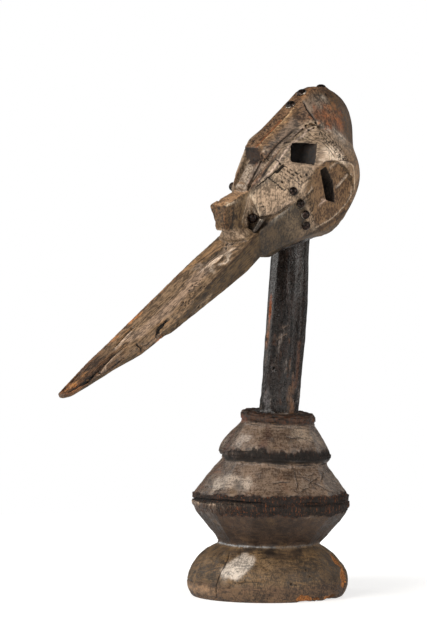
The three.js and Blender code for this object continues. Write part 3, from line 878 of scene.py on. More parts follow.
@dataclass
class HeadRelief:
    """What is cut into the sides of the head: bands, dashes, hatching, cracks and small holes."""

    ladder_inner: tuple[Spot, ...] = ((-23.6, 536.6), (-20.2, 532.1), (-14.4, 528.2), (-7.6, 523.5), (-1.8, 517.8), (4.5, 511.6))
    ladder_outer: tuple[Spot, ...] = ((-10, 550.8), (-7.8, 545.5), (-0.8, 538.1), (8, 531.8), (17.9, 525.5), (26.5, 513.4))
    ladder_lines: int = 5
    rungs: int = 34
    ear_line: tuple[Spot, ...] = (
        (-4.8, 504.7), (3, 509), (12, 511), (24, 511.2), (32.8, 508.6), (35.6, 500), (38, 482.7),
        (38, 471), (30.6, 462.3), (20.3, 453.3), (7.3, 445.3), (-6, 439.1), (-21.9, 432.2),
    )
    brow_ridge: tuple[Spot, ...] = ((-96.7, 479.7), (-76.8, 498.9), (-57.8, 526.4), (-39, 538.6), (-31.1, 545.5), (-24, 547.7))
    brow_channel: tuple[Spot, ...] = ((-97, 476), (-90.9, 484), (-80.8, 500.8), (-62.1, 526), (-46.3, 539.6), (-31.4, 550))

    def round_zone(self, skin: WoodSkin) -> np.ndarray:
        """Finds the back of the head and its dome, which are round and smooth.

        Args:
            skin: The carving's skin.

        Returns:
            How much each place belongs to it, from 0 to 1.
        """
        x, y, z = skin.head.T
        off_ear = ease(np.hypot(y + 3.0, z - 469.5), 44.0, 50.0)
        strip = ease(np.abs(x), 20.0, 13.0) * ease(y, 36.0, 28.0)
        return ease(y, -12.0, 2.0) * off_ear * (1.0 - strip) * ease(z, 427.0, 434.0)

    def ladder(self) -> list[Relief]:
        """Gives the ladder-like band that runs down behind the square hole."""
        inner = curve_through(self.ladder_inner)
        outer = curve_through(self.ladder_outer)
        rng = np.random.default_rng(29)
        reliefs: list[Relief] = []
        for number in range(self.ladder_lines):
            line = inner + (outer - inner) * number / (self.ladder_lines - 1)
            points = tuple(map(tuple, line[::4]))
            weight = 1.0 if number == 0 else 0.7
            reliefs.append(Stroke(points, 1.5 * weight + 0.2, 1.2 * weight, wander=0.3))
        for number in range(self.rungs):
            place = (number + 0.5) / self.rungs * (len(inner) - 1)
            low = int(place)
            start = inner[low] + (inner[low + 1] - inner[low]) * (place - low)
            end = outer[low] + (outer[low + 1] - outer[low]) * (place - low)
            lane = rng.integers(1, self.ladder_lines - 1) / (self.ladder_lines - 1)
            reach = rng.uniform(0.2, 0.42)
            points = (tuple(start + (end - start) * lane), tuple(start + (end - start) * min(1.0, lane + reach)))
            reliefs.append(Stroke(points, 1.4, 0.9 if number % 3 else -0.6, ROUND, wander=0.3))
        reliefs.append(Stroke(((4.3, 516.4), (13.4, 517.4), (25.7, 518.5)), 1.5, 1.1, wander=0.2))
        reliefs.append(Stroke(((6, 512.4), (14, 513.6), (27, 514)), 1.4, 0.9, wander=0.2))
        for number in range(6):
            y = 6.5 + 3.6 * number
            reliefs.append(Stroke(((y, 516.6), (y + 0.3, 513.2)), 1.3, 0.9, ROUND))
        return reliefs

    def dashes(self) -> list[Relief]:
        """Gives the rows of short incised dashes below the square hole."""
        rows = (
            ((-66.2, 503.1), (-49.4, 490.2), 4, 1.0),
            ((-69.3, 501.4), (-48.4, 484.1), 5, 1.0),
            ((-71.3, 497.3), (-51.5, 481.5), 5, 1.0),
            ((-73, 493.5), (-62, 484.5), 3, 0.8),
            ((-64.8, 498), (-57, 491.6), 2, 1.5),
            ((-56.6, 496.9), (-49, 489.6), 2, 1.6),
        )
        reliefs: list[Relief] = []
        for row, (start, end, count, weight) in enumerate(rows):
            first, last = np.array(start), np.array(end)
            for number in range(count):
                near = first + (last - first) * (number + 0.1) / count
                far = first + (last - first) * (number + 0.84) / count
                reliefs.append(Stroke((tuple(near), tuple(far)), 1.4 * weight, 1.2 * weight, ROUND))
        return reliefs

    def hatching(self) -> list[Relief]:
        """Gives the slanted cuts and pale steps beside the cheek studs."""
        reliefs: list[Relief] = [
            Stroke(((-45.2, 468.3), (-30.5, 480.1)), 1.7, -0.7, ROUND),
            Stroke(((-37.4, 465.5), (-25.5, 474.6)), 1.7, -0.7, ROUND),
            Stroke(((-43.5, 465.5), (-29, 477.6)), 1.2, 0.9),
            Stroke(((-14, 461), (-10.3, 463.7), (-4.5, 467.5)), 2.6, -0.9, ROUND),
            Stroke(((-20.5, 458.5), (-12.5, 464.8)), 1.4, -0.5, ROUND),
        ]
        for number in range(7):
            y, z = -44.5 + 2.4 * number, 467.5 + 1.9 * number
            reliefs.append(Stroke(((y, z - 0.8), (y + 3.0, z - 3.6)), 1.5, 1.2, ROUND))
        rng = np.random.default_rng(31)
        for number in range(8):
            y, z = -38.0 + 1.9 * number, 463.5 - 3.4 * number
            lean = rng.uniform(4.4, 6.6)
            reliefs.append(Stroke(((y, z), (y + lean, z + lean * 0.85)), 1.4, 1.0, wander=0.4))
            turned = ((y + lean, z + lean * 0.85), (y + lean + 2.6, z + lean * 0.85 - 5.0))
            reliefs.append(Stroke(turned, 1.3, 0.9 if number % 2 else -0.6, ROUND, wander=0.4))
        return reliefs

    def stitches(self) -> list[Relief]:
        """Gives the row of small cross stitches between the upper cheek and the dashes."""
        line = curve_through(((-84, 489.4), (-81.2, 486.3), (-77.7, 482.6), (-73.5, 476.8), (-69.7, 474.4)))
        reliefs: list[Relief] = [Stroke(tuple(map(tuple, line[::5])), 1.6, 1.5, ROUND, 0.4)]
        for number in range(2, len(line) - 1, 2):
            way = (line[number + 1] - line[number - 1]) / np.linalg.norm(line[number + 1] - line[number - 1])
            across = np.array([-way[1], way[0]]) * 1.9
            reliefs.append(Stroke((tuple(line[number] - across), tuple(line[number] + across)), 1.1, 0.9, ROUND))
        return reliefs

    def cracks(self) -> list[Relief]:
        """Gives the cracks and the small holes of the left side."""
        return [
            Stroke(((-83, 487.6), (-79.4, 491.5), (-74.9, 495.9)), 2.0, 2.2, VEE, 0.5, tapered=False),
            Stroke(((-76.5, 493.6), (-71.9, 497.3), (-67.3, 502.2), (-64.5, 504.2)), 3.8, 4.0, FLAT, 0.7),
            Stroke(((-94, 474.1), (-89.4, 480.3), (-85.1, 484.7), (-83.6, 489)), 2.4, 2.2, VEE, 0.7),
            Stroke(((-74.7, 510), (-70.1, 506)), 2.0, 1.8),
            Stroke(((-52.4, 477.2), (-42.7, 487), (-28.5, 491)), 2.2, -0.8, ROUND, 0.3),
            Stroke(((-52.8, 480.2), (-43.5, 489.6), (-29.5, 494)), 1.2, 0.8, VEE, 0.3),
            Stroke(((-31.5, 543.5), (-27.5, 536.5)), 1.3, 0.9),
            Stroke(((-40, 539.5), (-31, 533), (-24, 528)), 1.0, 0.7, wander=0.4),
            Stroke(((-43, 536.5), (-34, 531)), 1.0, 0.6, wander=0.4),
            Stroke(((-15.5, 579.5), (-15.6, 570.6), (-14.8, 562.8), (-12.4, 555.2)), 2.8, 3.4, VEE, 0.7),
            Stroke(((-12, 553), (3, 549.6), (16, 544), (28, 537.3), (44, 533)), 3.4, 0.8, ROUND, 1.2, dirt_and_shade=0.35),
            Pit((-12.6, 553.8), 2.3, 3.4),
            Pit((-23.2, 549.2), 2.3, 3.4, 1.3, 20),
            Pit((-18, 552), 1.5, 2.0),
            Pit((-29, 545.5), 1.3, 1.6, 1.8, 40),
            Pit((-30.8, 498.6), 1.8, 3.2, 1.6, 110, rough=0.05),
            Pit((-33.5, 495.5), 1.1, 1.4),
            Pit((-70.4, 484.1), 1.5, 2.6, rough=0.1),
            Pit((-44.6, 493.9), 1.3, 1.5, 1.8, -35),
            Pit((-69.5, 504.6), 1.5, 2.2),
            Pit((-87.5, 482.3), 1.4, 1.8),
            Pit((-86.5, 454.5), 1.5, 1.2, 1.4, 30, rough=0.5, dirt_and_shade=0.7),
            Pit((-87.8, 458), 1.1, 1.0, rough=0.5, dirt_and_shade=0.6),
            Pit((-84.8, 450.6), 1.2, 1.0, rough=0.5, dirt_and_shade=0.7),
            Pit((18.5, 588.2), 1.6, 1.2, 1.6, 60, rough=0.3),
        ]

    def crest_marks(self) -> list[tuple[Relief, Chart]]:
        """Gives the pits and lines of the crest's top, and the hole in its front end."""
        top = TopChart(0.3, 500.0, 700.0)
        side = SideChart(1, 0.3, 4.0)
        marks: list[tuple[Relief, Chart]] = [
            (Stroke(((88, 7.6), (68, 8.2), (48, 8.4), (30, 8.2)), 1.5, 1.0, VEE, 0.4, dirt_and_shade=0.6), top),
            (Stroke(((89, 4), (70, 4.4), (50, 4.2)), 1.2, 0.7, VEE, 0.6, dirt_and_shade=0.5), top),
            (Stroke(((88, -5), (72, -4.6), (56, -5)), 1.8, 1.0, ROUND, 0.8, dirt_and_shade=0.7), top),
            (Pit((-82.6, 509.6), 3.0, 4.5, 1.3, 70), side),
            (Pit((-80.2, 517.2), 1.8, 1.0, 1.4, 40, ROUND, dirt_and_shade=0.0), side),
            (Pit((-75.1, 519), 2.0, 1.1, 1.6, 50, ROUND, dirt_and_shade=0.0), side),
            (Stroke(((-84, 512), (-78, 508.5), (-74, 506)), 1.8, 1.4, VEE, 0.5), side),
        ]
        rng = np.random.default_rng(37)
        for number in range(16):
            front = 88 - 3.1 * number
            marks.append((Pit((front, -3.6 + rng.normal(0, 0.9)), rng.uniform(0.8, 1.5), 1.5, 1.5, 0, rough=0.4), top))
        return marks

    def carve(self, skin: WoodSkin) -> None:
        """Cuts the relief of both sides; the far one is plainer.

        Args:
            skin: The carving's skin.
        """
        shared: list[Relief] = [
            Stroke(self.brow_channel, 3.0, 1.9, ROUND, 0.5, dirt_and_shade=0.7),
            Stroke(self.brow_ridge, 2.8, -0.8, ROUND, 0.3),
            Stroke(self.ear_line, 1.9, -0.7, ROUND),
            Stroke(((10.8, 481.9), (18, 488), (29, 497.8)), 5.0, -1.9, VEE),
        ]
        shared += self.ladder() + self.dashes()
        for side in (1, -1):
            chart = SideChart(side)
            own = self.hatching() + self.stitches() + self.cracks() if side == 1 else []
            for relief in shared + own:
                relief.cut(skin, chart)
        for relief, chart in self.crest_marks():
            relief.cut(skin, chart)
        ear_lobe = inside(np.hypot(skin.head[:, 1] - 22.0, skin.head[:, 2] - 438.0), 0.0, 26.0, 5.0)
        nose_end = ease(skin.head[:, 1], -118.5, -122.0) * ease(skin.head[:, 2], 421.0, 427.0)
        crest_end = ease(skin.head[:, 1], -79.5, -81.5) * ease(skin.head[:, 2], 501.0, 505.0)
        rough = layered_noise(skin.points * np.array([1.0, 1.0, 0.45]), 3.2, 63)
        skin.sink((0.5 * ear_lobe + 1.0 * nose_end + 0.7 * crest_end) * rough + 0.5 * nose_end)

    def washes(self) -> list[tuple[Wash, Chart]]:
        """Gives the rubbed lines, the dust and the stains of the head, and its painted highlights and painted shade."""
        left, right, top = SideChart(1), SideChart(-1), TopChart(0.3, 500.0, 700.0)
        edge = SideChart(1, 0.0)
        both = [
            Wash(self.brow_ridge, 3.0, "b09a8a", 0.75, 0.35, 0.5),
            # The dark line in the brow channel is painted shade.
            Wash(self.brow_channel, 2.4, "3a2416", 0.7, 0.5, 0.4),
            # The pale line on the ear's rim is a painted highlight on its raised lip.
            Wash(self.ear_line, 1.8, "b3a08a", 0.7, 0.3, 0.4),
            Wash(((10.8, 481.9), (18, 488), (29, 497.8)), 2.8, "b7a591", 0.8, 0.3, 0.45),
            Wash(((-12, 552), (3, 548), (16, 542.5), (28, 535.5)), 7.0, "9c9288", 0.5, 0.8, 0.4),
        ]
        washes = [(wash, chart) for wash in both for chart in (left, right)]
        # Painted shadow: a dark band under the ear's rim.
        shade_under_ear = Wash(((33.6, 454.3), (18, 445.6), (1.3, 438.1), (-16.3, 430.6), (-27.9, 421.8)), 5.0, "2a1f17", 0.75)
        washes += [(shade_under_ear, edge), (shade_under_ear, SideChart(-1, 0.0))]
        # Painted shade in the eye hollows.
        eye_hollow_shade = Wash(((-94, 447), (-88, 441), (-83, 436)), 13.0, "1c1612", 0.85, 0.3, 0.4)
        washes += [(eye_hollow_shade, SideChart(side, -2.0, 9.0)) for side in (1, -1)]
        nose_top = Wash(((100, 0), (114, 0), (128, 0)), 30.0, "a88462", 0.6, 0.3, 0.45)
        washes += [
            (nose_top, TopChart(0.5, 440.0, 480.0)),
            (Wash(((-136, 454.2), (-116, 459.2), (-97, 463.6)), 2.4, "cdb99f", 0.85, 0.3, 0.5), edge),
            (Wash(((-97.5, 464), (-100.6, 450), (-103.5, 437)), 2.6, "a3917c", 0.8, 0.4, 0.45), edge),
            (Wash(((-122, 455), (-121, 441), (-119.5, 428)), 3.0, "16110d", 0.85, 0.5, 0.3), edge),
            (Wash(((-95.4, 468), (-91.9, 455), (-88.3, 444)), 2.6, "b8a58e", 0.75, 0.4, 0.5), left),
            (Wash(((-66, 474), (-60, 466), (-72, 456), (-84, 446)), 2.2, "a8917c", 0.6, 0.4, 0.45), left),
            # Painted highlight: a bluish strip where the jaw's upper edge rounds over.
            (Wash(((-78.4, 438.5), (-69.4, 448.5), (-60, 457)), 4.0, "8c8478", 0.55, 0.5, 0.6), left),
            (Wash(((-60, 452), (-52, 440), (-46, 430)), 16.0, "6c5c48", 0.4, 0.5, 0.5), left),
            (Wash(((-84, 437), (-76, 424), (-70, 412)), 13.0, "463828", 0.5, 0.6, 0.45), left),
            (Wash(((-56, 484), (-46, 478)), 10.0, "a58f7a", 0.45, 0.6, 0.45), left),
            (Wash(((-36, 486), (-30, 470), (-24, 458)), 16.0, "6a543c", 0.5, 0.5, 0.4), left),
            (Wash(((-30.8, 480), (-36, 474)), 3.0, "b4a08a", 0.6, 0.5, 0.4), left),
            (Wash(((-14.5, 461.3), (-5, 467)), 3.2, "b59c88", 0.8, 0.3, 0.45), left),
            (Wash(((-80.2, 517.2), (-79.6, 518)), 3.6, "c0aa94", 0.85, 0.5, 0.4), left),
            (Wash(((-75.1, 519), (-74.6, 520)), 4.0, "b8a28c", 0.8, 0.5, 0.4), left),
            (Wash(((-68, 526), (-50, 541), (-34, 553)), 12.0, "74675c", 0.5, 0.5, 0.45), left),
            (Wash(((-84, 519), (-60, 541), (-40, 557), (-26, 567)), 5.0, "7a5c3c", 0.6, 0.5, 0.4), left),
            (Wash(((-74, 512), (-60, 526), (-44, 540)), 5.0, "4c3a2e", 0.55, 0.6, 0.4), left),
            (Wash(((88, 8.8), (68, 9.2), (48, 9.4), (28, 9.2)), 1.8, "b99a74", 0.6, 0.9, 0.45), top),
            (Wash(((88, 6.6), (68, 7), (48, 7.2)), 1.8, "8c4a1e", 0.7, 0.5, 0.4), top),
            (Wash(((10, 4), (-6, 2), (-30, 0)), 9.0, "8a5e36", 0.55, 0.5, 0.4), top),
            (Wash(((-10, 566), (0, 562), (12, 560), (24, 556)), 15.0, "6a4128", 0.6, 0.8, 0.35), left),
            (Wash(((-12, 572), (0, 578), (10, 582)), 12.0, "6e6155", 0.6, 0.4, 0.5), left),
            (Wash(((10.5, 584.4), (14, 586.2)), 3.4, "9c9284", 0.7, 0.5, 0.45), left),
            (Wash(((-88, 495), (-93, 487), (-97, 477)), 3.2, "4a2c18", 0.75, 0.4, 0.4), SideChart(1, 0.2, 5.0)),
        ]
        rng = np.random.default_rng(41)
        for number in range(44):
            y, z = rng.uniform(-10, 34), rng.uniform(548, 580)
            colour = ("9c5426", "a8683c", "7c4220", "1d1714")[number % 4]
            line = ((y, z), (y + rng.normal(0, 1.2), z - rng.uniform(3, 9)))
            washes.append((Wash(line, rng.uniform(0.9, 1.7), colour, 0.7, 0.6, 0.35), left))
        return washes


@dataclass
class Neck:
    """The post neck: nearly black, faceted, scratched and rough at its foot."""

    chart: RoundChart = RoundChart((1.5, -7.0), 24.0, True, (0.0, 31.0))

    def zone(self, skin: WoodSkin) -> np.ndarray:
        """Marks the neck.

        Args:
            skin: The carving's skin.

        Returns:
            1 on the neck, 0 off it.
        """
        away = np.hypot(skin.head[:, 0] - 1.5, skin.head[:, 1] + 7.0)
        return ease(away, 32.0, 28.5) * ease(skin.points[:, 2], 212.0, 215.0) * ease(skin.head[:, 2], 430.0, 422.0)

    def carve(self, skin: WoodSkin) -> None:
        """Cuts the neck's relief.

        Args:
            skin: The carving's skin.
        """
        zone = self.zone(skin)
        strips = cell_noise(skin.head * np.array([1.0, 1.0, 0.16]), 9.0, 5)
        rough = layered_noise(skin.head * np.array([1.0, 1.0, 0.35]), 5.0, 8)
        foot = ease(skin.head[:, 2], 275.0, 225.0)
        skin.sink(zone * (0.7 * (1.0 - strips) + (0.16 + 0.85 * foot) * rough))
        reliefs: list[Relief] = [
            Pit((5.7, 268.9), 2.1, 4.0, 1.3, 80),
            Pit((-9.6, 299.9), 2.6, 1.6, 1.8, 85, raw=0.3, dirt_and_shade=0.2),
            Pit((-6.3, 335.2), 2.0, 1.0, 3.2, 85, raw=0.5, dirt_and_shade=0.2),
            Stroke(((7.8, 301.7), (19.3, 310.2)), 1.0, 0.7, dirt_and_shade=0.0),
            Stroke(((14, 316), (21, 321)), 0.9, 0.5, dirt_and_shade=0.0),
            Stroke(((8, 322), (9, 300), (10, 282)), 1.6, 0.9, VEE, 0.8),
            Stroke(((23, 330), (24, 290), (22, 250)), 1.4, 0.9, VEE, 0.8),
            Stroke(((34, 350), (33, 300), (34, 262)), 1.4, 0.8, VEE, 0.8),
            Stroke(((-30, 330), (-31, 290), (-29, 262)), 1.4, 0.9, VEE, 0.8),
        ]
        for relief in reliefs:
            relief.cut(skin, self.chart)

    def washes(self) -> list[tuple[Wash, Chart]]:
        """Gives the rust-red, bluish and scratched places of the neck."""
        washes = [
            Wash(((-7, 350), (-6.3, 335), (-7, 320)), 5.0, "9a4e1c", 0.85, 0.6, 0.7),
            Wash(((-7.1, 318), (-7.6, 308), (-9, 292)), 6.0, "8a5834", 0.8, 0.7, 0.6),
            Wash(((-8, 290), (-8, 262), (-6, 240)), 7.0, "3c3a3c", 0.4, 0.6, 0.8),
            Wash(((8, 302), (19, 310)), 1.4, "6c5a4c", 0.8, 0.3, 0.6),
            Wash(((14, 316), (21, 321)), 1.2, "6c5a4c", 0.7, 0.3, 0.6),
            Wash(((30, 246), (31, 232), (33, 220)), 9.0, "6a4a30", 0.55, 0.9, 0.5),
            Wash(((-2, 240), (-2, 226), (-1, 218)), 8.0, "7a7474", 0.5, 0.9, 0.6),
            Wash(((36, 300), (37, 270), (36, 250)), 5.0, "4a2e1c", 0.6, 0.7, 0.6),
        ]
        rng = np.random.default_rng(43)
        for number in range(60):
            around, height = rng.uniform(-70, 80), rng.uniform(220, 320)
            line = ((around, height), (around + rng.normal(0, 1.0), height + rng.uniform(5, 14)))
            colour = ("7c6450", "5c3a24", "8c8078")[number % 3]
            washes.append(Wash(line, rng.uniform(1.0, 1.8), colour, rng.uniform(0.4, 0.8), 0.6, 0.6))
        return [(wash, self.chart) for wash in washes]


@dataclass
class Plinth:
    """The tiered plinth with its foot: tool marks, rough end-grain lips, a groove, cracks, chips and a pale patch."""

    centre: Spot = (5.0, 0.0)
    radius: float = 80.0
    facing_deg: float = 42.0
    facet_deg: float = 31.0
    facet_start_deg: float = -12.0
    facet_slant: float = 0.25
    # Painted light and shade of the five flats in view, from the left.
    facet_painted_light: tuple[float, ...] = (0.72, 1.1, 0.92, 1.02, 0.78)
    hang: float = 3.2

    def around(self, degrees: float) -> float:
        """Gives the chart's place of an angle measured from the side that faces the viewer."""
        return math.radians(self.facing_deg + degrees) * self.radius

    def angle(self, skin: WoodSkin) -> np.ndarray:
        """Measures the angle from the side that faces the viewer, towards the figure's left, in degrees."""
        turn = np.degrees(np.arctan2(skin.points[:, 0] - self.centre[0], -skin.points[:, 1])) - self.facing_deg
        return (turn + 180.0) % 360.0 - 180.0

    def zone(self, skin: WoodSkin, neck: np.ndarray) -> np.ndarray:
        """Marks the plinth.

        Args:
            skin: The carving's skin.
            neck: The neck's zone.

        Returns:
            1 on the plinth, 0 off it.
        """
        return ease(skin.points[:, 2], 222.0, 218.0) * (1.0 - neck)

    def facet_place(self, skin: WoodSkin) -> np.ndarray:
        """Numbers the broad flats that the adze left on the cones; the fraction tells how far across one."""
        height = skin.points[:, 2]
        middle = np.where(height > 165.0, 188.0, 140.0)
        bent = 4.0 * value_noise(skin.points * np.array([0.3, 0.3, 1.0]), 34.0, 75)
        slant = np.clip(height - middle, -22.0, 22.0) * self.facet_slant
        return (self.angle(skin) - self.facet_start_deg - slant + bent) / self.facet_deg

    def facets(self, skin: WoodSkin) -> np.ndarray:
        """Gives the depth of the flats, in mm."""
        flat = 1.0 - (2.0 * (self.facet_place(skin) % 1.0) - 1.0) ** 2
        cone = inside(np.abs(skin.normals[:, 2]), 0.2, 0.93, 0.05) * ease(skin.points[:, 2], 60.0, 66.0)
        return 2.0 * flat * cone

    def shade(self, skin: WoodSkin) -> np.ndarray:
        """Gives each flat's painted light and shade, as a factor: a painted highlight and painted shade on the flats in
        view, uneven tone on the others.
        """
        shares = np.random.default_rng(61).uniform(0.82, 1.1, 24)
        shares[: len(self.facet_painted_light)] = self.facet_painted_light
        picked = shares[np.floor(self.facet_place(skin)).astype(int) + 2]
        cone = inside(skin.points[:, 2], 66.0, 202.0, 3.0)
        return 1.0 + (picked - 1.0) * cone

    def tilt(self, skin: WoodSkin, zone: np.ndarray) -> None:
        """Lets the tier hang a little towards the viewer's right."""
        facing = math.radians(self.facing_deg)
        right = (skin.points[:, 0] - self.centre[0]) * math.cos(facing) + skin.points[:, 1] * math.sin(facing)
        height = skin.points[:, 2]
        skin.points[:, 2] -= self.hang * zone * ease(right, -25.0, 55.0) * ease(height, 125.0, 160.0) * ease(height, 203.0, 176.0)

    def lips(self, skin: WoodSkin) -> np.ndarray:
        """Marks the rough dark lips of end grain.

        Args:
            skin: The carving's skin.

        Returns:
            1 on the lips of the tier and the drum, 0 off them.
        """
        height = skin.points[:, 2]
        facing = math.radians(self.facing_deg)
        right = (skin.points[:, 0] - self.centre[0]) * math.cos(facing) + skin.points[:, 1] * math.sin(facing)
        tilted = height + self.hang * ease(right, -25.0, 55.0)
        spikes = value_noise(skin.points * np.array([1, 1, 0.12]), 3.0, 74)
        uneven = 2.6 * value_noise(skin.points * np.array([1, 1, 0.2]), 14.0, 71)
        rightwards = ease(self.angle(skin), -60.0, -15.0)
        tier = ease(tilted, 162.6, 164.2) * ease(tilted + uneven + 3.4 * spikes, 178.0, 170.0)
        tier *= 0.55 + 0.45 * rightwards
        drum = inside(height + uneven + 1.8 * spikes, 99.0, 121.0, 2.5)
        drum *= 1.0 - 0.5 * ease(height, 114.0, 110.0) * (1.0 - rightwards)
        return np.maximum(tier, drum)

    def carve(self, skin: WoodSkin, zone: np.ndarray) -> None:
        """Cuts the plinth's relief.

        Args:
            skin: The carving's skin.
            zone: The plinth's zone.
        """
        self.tilt(skin, zone)
        height = skin.points[:, 2]
        lips = self.lips(skin) * zone
        tool = cell_noise(skin.points * np.array([1.0, 1.0, 0.55]), 13.0, 72)
        fibre = layered_noise(skin.points * np.array([1.0, 1.0, 0.22]), 3.0, 73)
        broad = layered_noise(skin.points, 22.0, 76, 2)
        side = ease(np.abs(skin.normals[:, 2]), 1.0, 0.9)
        depth = zone * side * (0.5 * (1.0 - tool) + 0.2 * fibre + 0.5 * broad) + zone * self.facets(skin)
        depth += lips * (1.1 * fibre + 0.5)
        foot = ease(height, 58.0, 40.0) * zone
        depth += foot * side * 0.55 * layered_noise(skin.points, 9.0, 79)
        rim = zone * ease(height + (skin.points[:, 0] - 20.0) * 0.09, 202.0, 205.0)
        depth += rim * 0.9 * layered_noise(skin.points * np.array([1.0, 1.0, 0.3]), 3.6, 77)
        skin.sink(depth * ease(height, 0.0, 3.0))
        skin.mark(Mark.LIP, np.clip(lips * (0.8 + 0.25 * fibre), 0.0, 1.0))
        for relief in self.cuts():
            relief.cut(skin, RoundChart(self.centre, self.radius))

    def cuts(self) -> list[Relief]:
        """Gives the groove, the cracks, the chips and the worm holes."""
        at = self.around
        reliefs: list[Relief] = [
            Stroke(((at(-96), 113.5), (at(-82), 114), (at(-39), 116.1), (at(-18), 114.9), (at(4), 113.4)), 3.2, 2.8, ROUND, 0.6),
            Stroke(((at(4), 113.4), (at(30), 111), (at(60), 112)), 1.8, 1.2, ROUND, 0.8, dirt_and_shade=0.7),
            Stroke(((at(-92), 110.6), (at(-60), 111.4), (at(-30), 112), (at(-12), 111.4)), 2.0, -0.8, ROUND, 0.5),
            Stroke(((at(-44), 57), (at(-40), 43), (at(-41), 33.5), (at(-42), 24), (at(-44), 1)), 2.2, 3.2, VEE, 0.7),
            Stroke(((at(-36), 60), (at(-31), 52), (at(-30), 44)), 1.3, 1.2, VEE, 0.8),
            Stroke(((at(0), 136.7), (at(7), 137.3), (at(14), 137)), 1.8, 2.0, VEE, 0.6),
            Stroke(((at(21), 158), (at(22), 141), (at(18), 126)), 1.6, 1.8, VEE, 0.8),
            Stroke(((at(26), 150.5), (at(31), 141), (at(35), 137), (at(38), 127)), 1.5, 1.5, VEE, 1.0),
            Stroke(((at(20), 124.5), (at(30), 131), (at(35), 137), (at(48), 142)), 1.4, 1.3, VEE, 1.2),
            Stroke(((at(35), 136.9), (at(48), 127), (at(58), 124)), 1.4, 1.3, VEE, 1.2),
            Stroke(((at(65), 148.4), (at(50), 140), (at(44), 134)), 1.4, 1.2, VEE, 1.2),
            Stroke(((at(31), 148), (at(37), 143), (at(46), 147)), 1.2, 1.0, VEE, 1.2),
            Stroke(((at(29), 194.6), (at(31), 187.9), (at(40), 184.2), (at(43), 178.4)), 1.4, 1.3, VEE, 0.8),
            Stroke(((at(40), 184.2), (at(52), 180)), 1.2, 1.0, VEE, 0.8),
            Stroke(((at(14), 190), (at(22), 186), (at(31), 187.9)), 1.2, 1.0, VEE, 0.8),
            Stroke(((at(-92), 19.5), (at(-60), 19.5), (at(-44), 20.5)), 2.0, 0.9, ROUND, 0.8, dirt_and_shade=0.5),
            Stroke(((at(-30), 22), (at(-12), 24), (at(2), 22)), 1.6, 0.8, ROUND, 1.2, dirt_and_shade=0.5),
            Stroke(((at(-70), 168.5), (at(-40), 171), (at(-12), 171.5)), 2.0, 1.2, VEE, 0.9, dirt_and_shade=0.8),
            Pit((at(76), 37), 10.0, 3.4, 1.7, 80, ROUND, rough=0.5, dirt_and_shade=0.15, raw=1.0),
            Pit((at(70), 22), 7.0, 2.6, 1.7, 70, ROUND, rough=0.5, dirt_and_shade=0.2, raw=0.9),
            Pit((at(27), 3), 6.0, 2.6, 1.9, 0, ROUND, rough=0.5, dirt_and_shade=0.1, raw=1.0),
            Pit((at(38), 2.5), 4.0, 2.4, 1.8, 0, ROUND, rough=0.5, dirt_and_shade=0.5, raw=0.8),
            Pit((at(54), 1), 6.0, 3.2, 2.0, 0, ROUND, rough=0.5, dirt_and_shade=0.6, raw=0.7),
            Pit((at(-30), 20), 4.0, 1.6, 1.6, 60, rough=0.6, dirt_and_shade=0.35),
            Pit((at(-22), 23), 2.6, 1.2, 1.6, 20, rough=0.6, dirt_and_shade=0.35),
        ]
        for number, (degrees, height) in enumerate(((28, 37.1), (30, 29.5), (18, 20.9), (14, 22.2), (58, 12), (48, 24))):
            reliefs.append(Pit((at(degrees), height), 1.1, 2.6, rough=0.1))
        rng = np.random.default_rng(17)
        for number in range(26):
            spot = (at(rng.uniform(95, 300)), rng.uniform(6, 48))
            reliefs.append(Pit(spot, rng.uniform(0.7, 1.1), 2.2, rough=0.1))
        for number in range(70):
            degrees, height = rng.uniform(-100, 260), rng.uniform(3, 15)
            line = ((at(degrees), height - 3.0), (at(degrees + rng.normal(0, 0.6)), height + rng.uniform(2, 5)))
            reliefs.append(Stroke(line, 1.2, 0.7, VEE, 0.3, dirt_and_shade=0.5))
        return reliefs

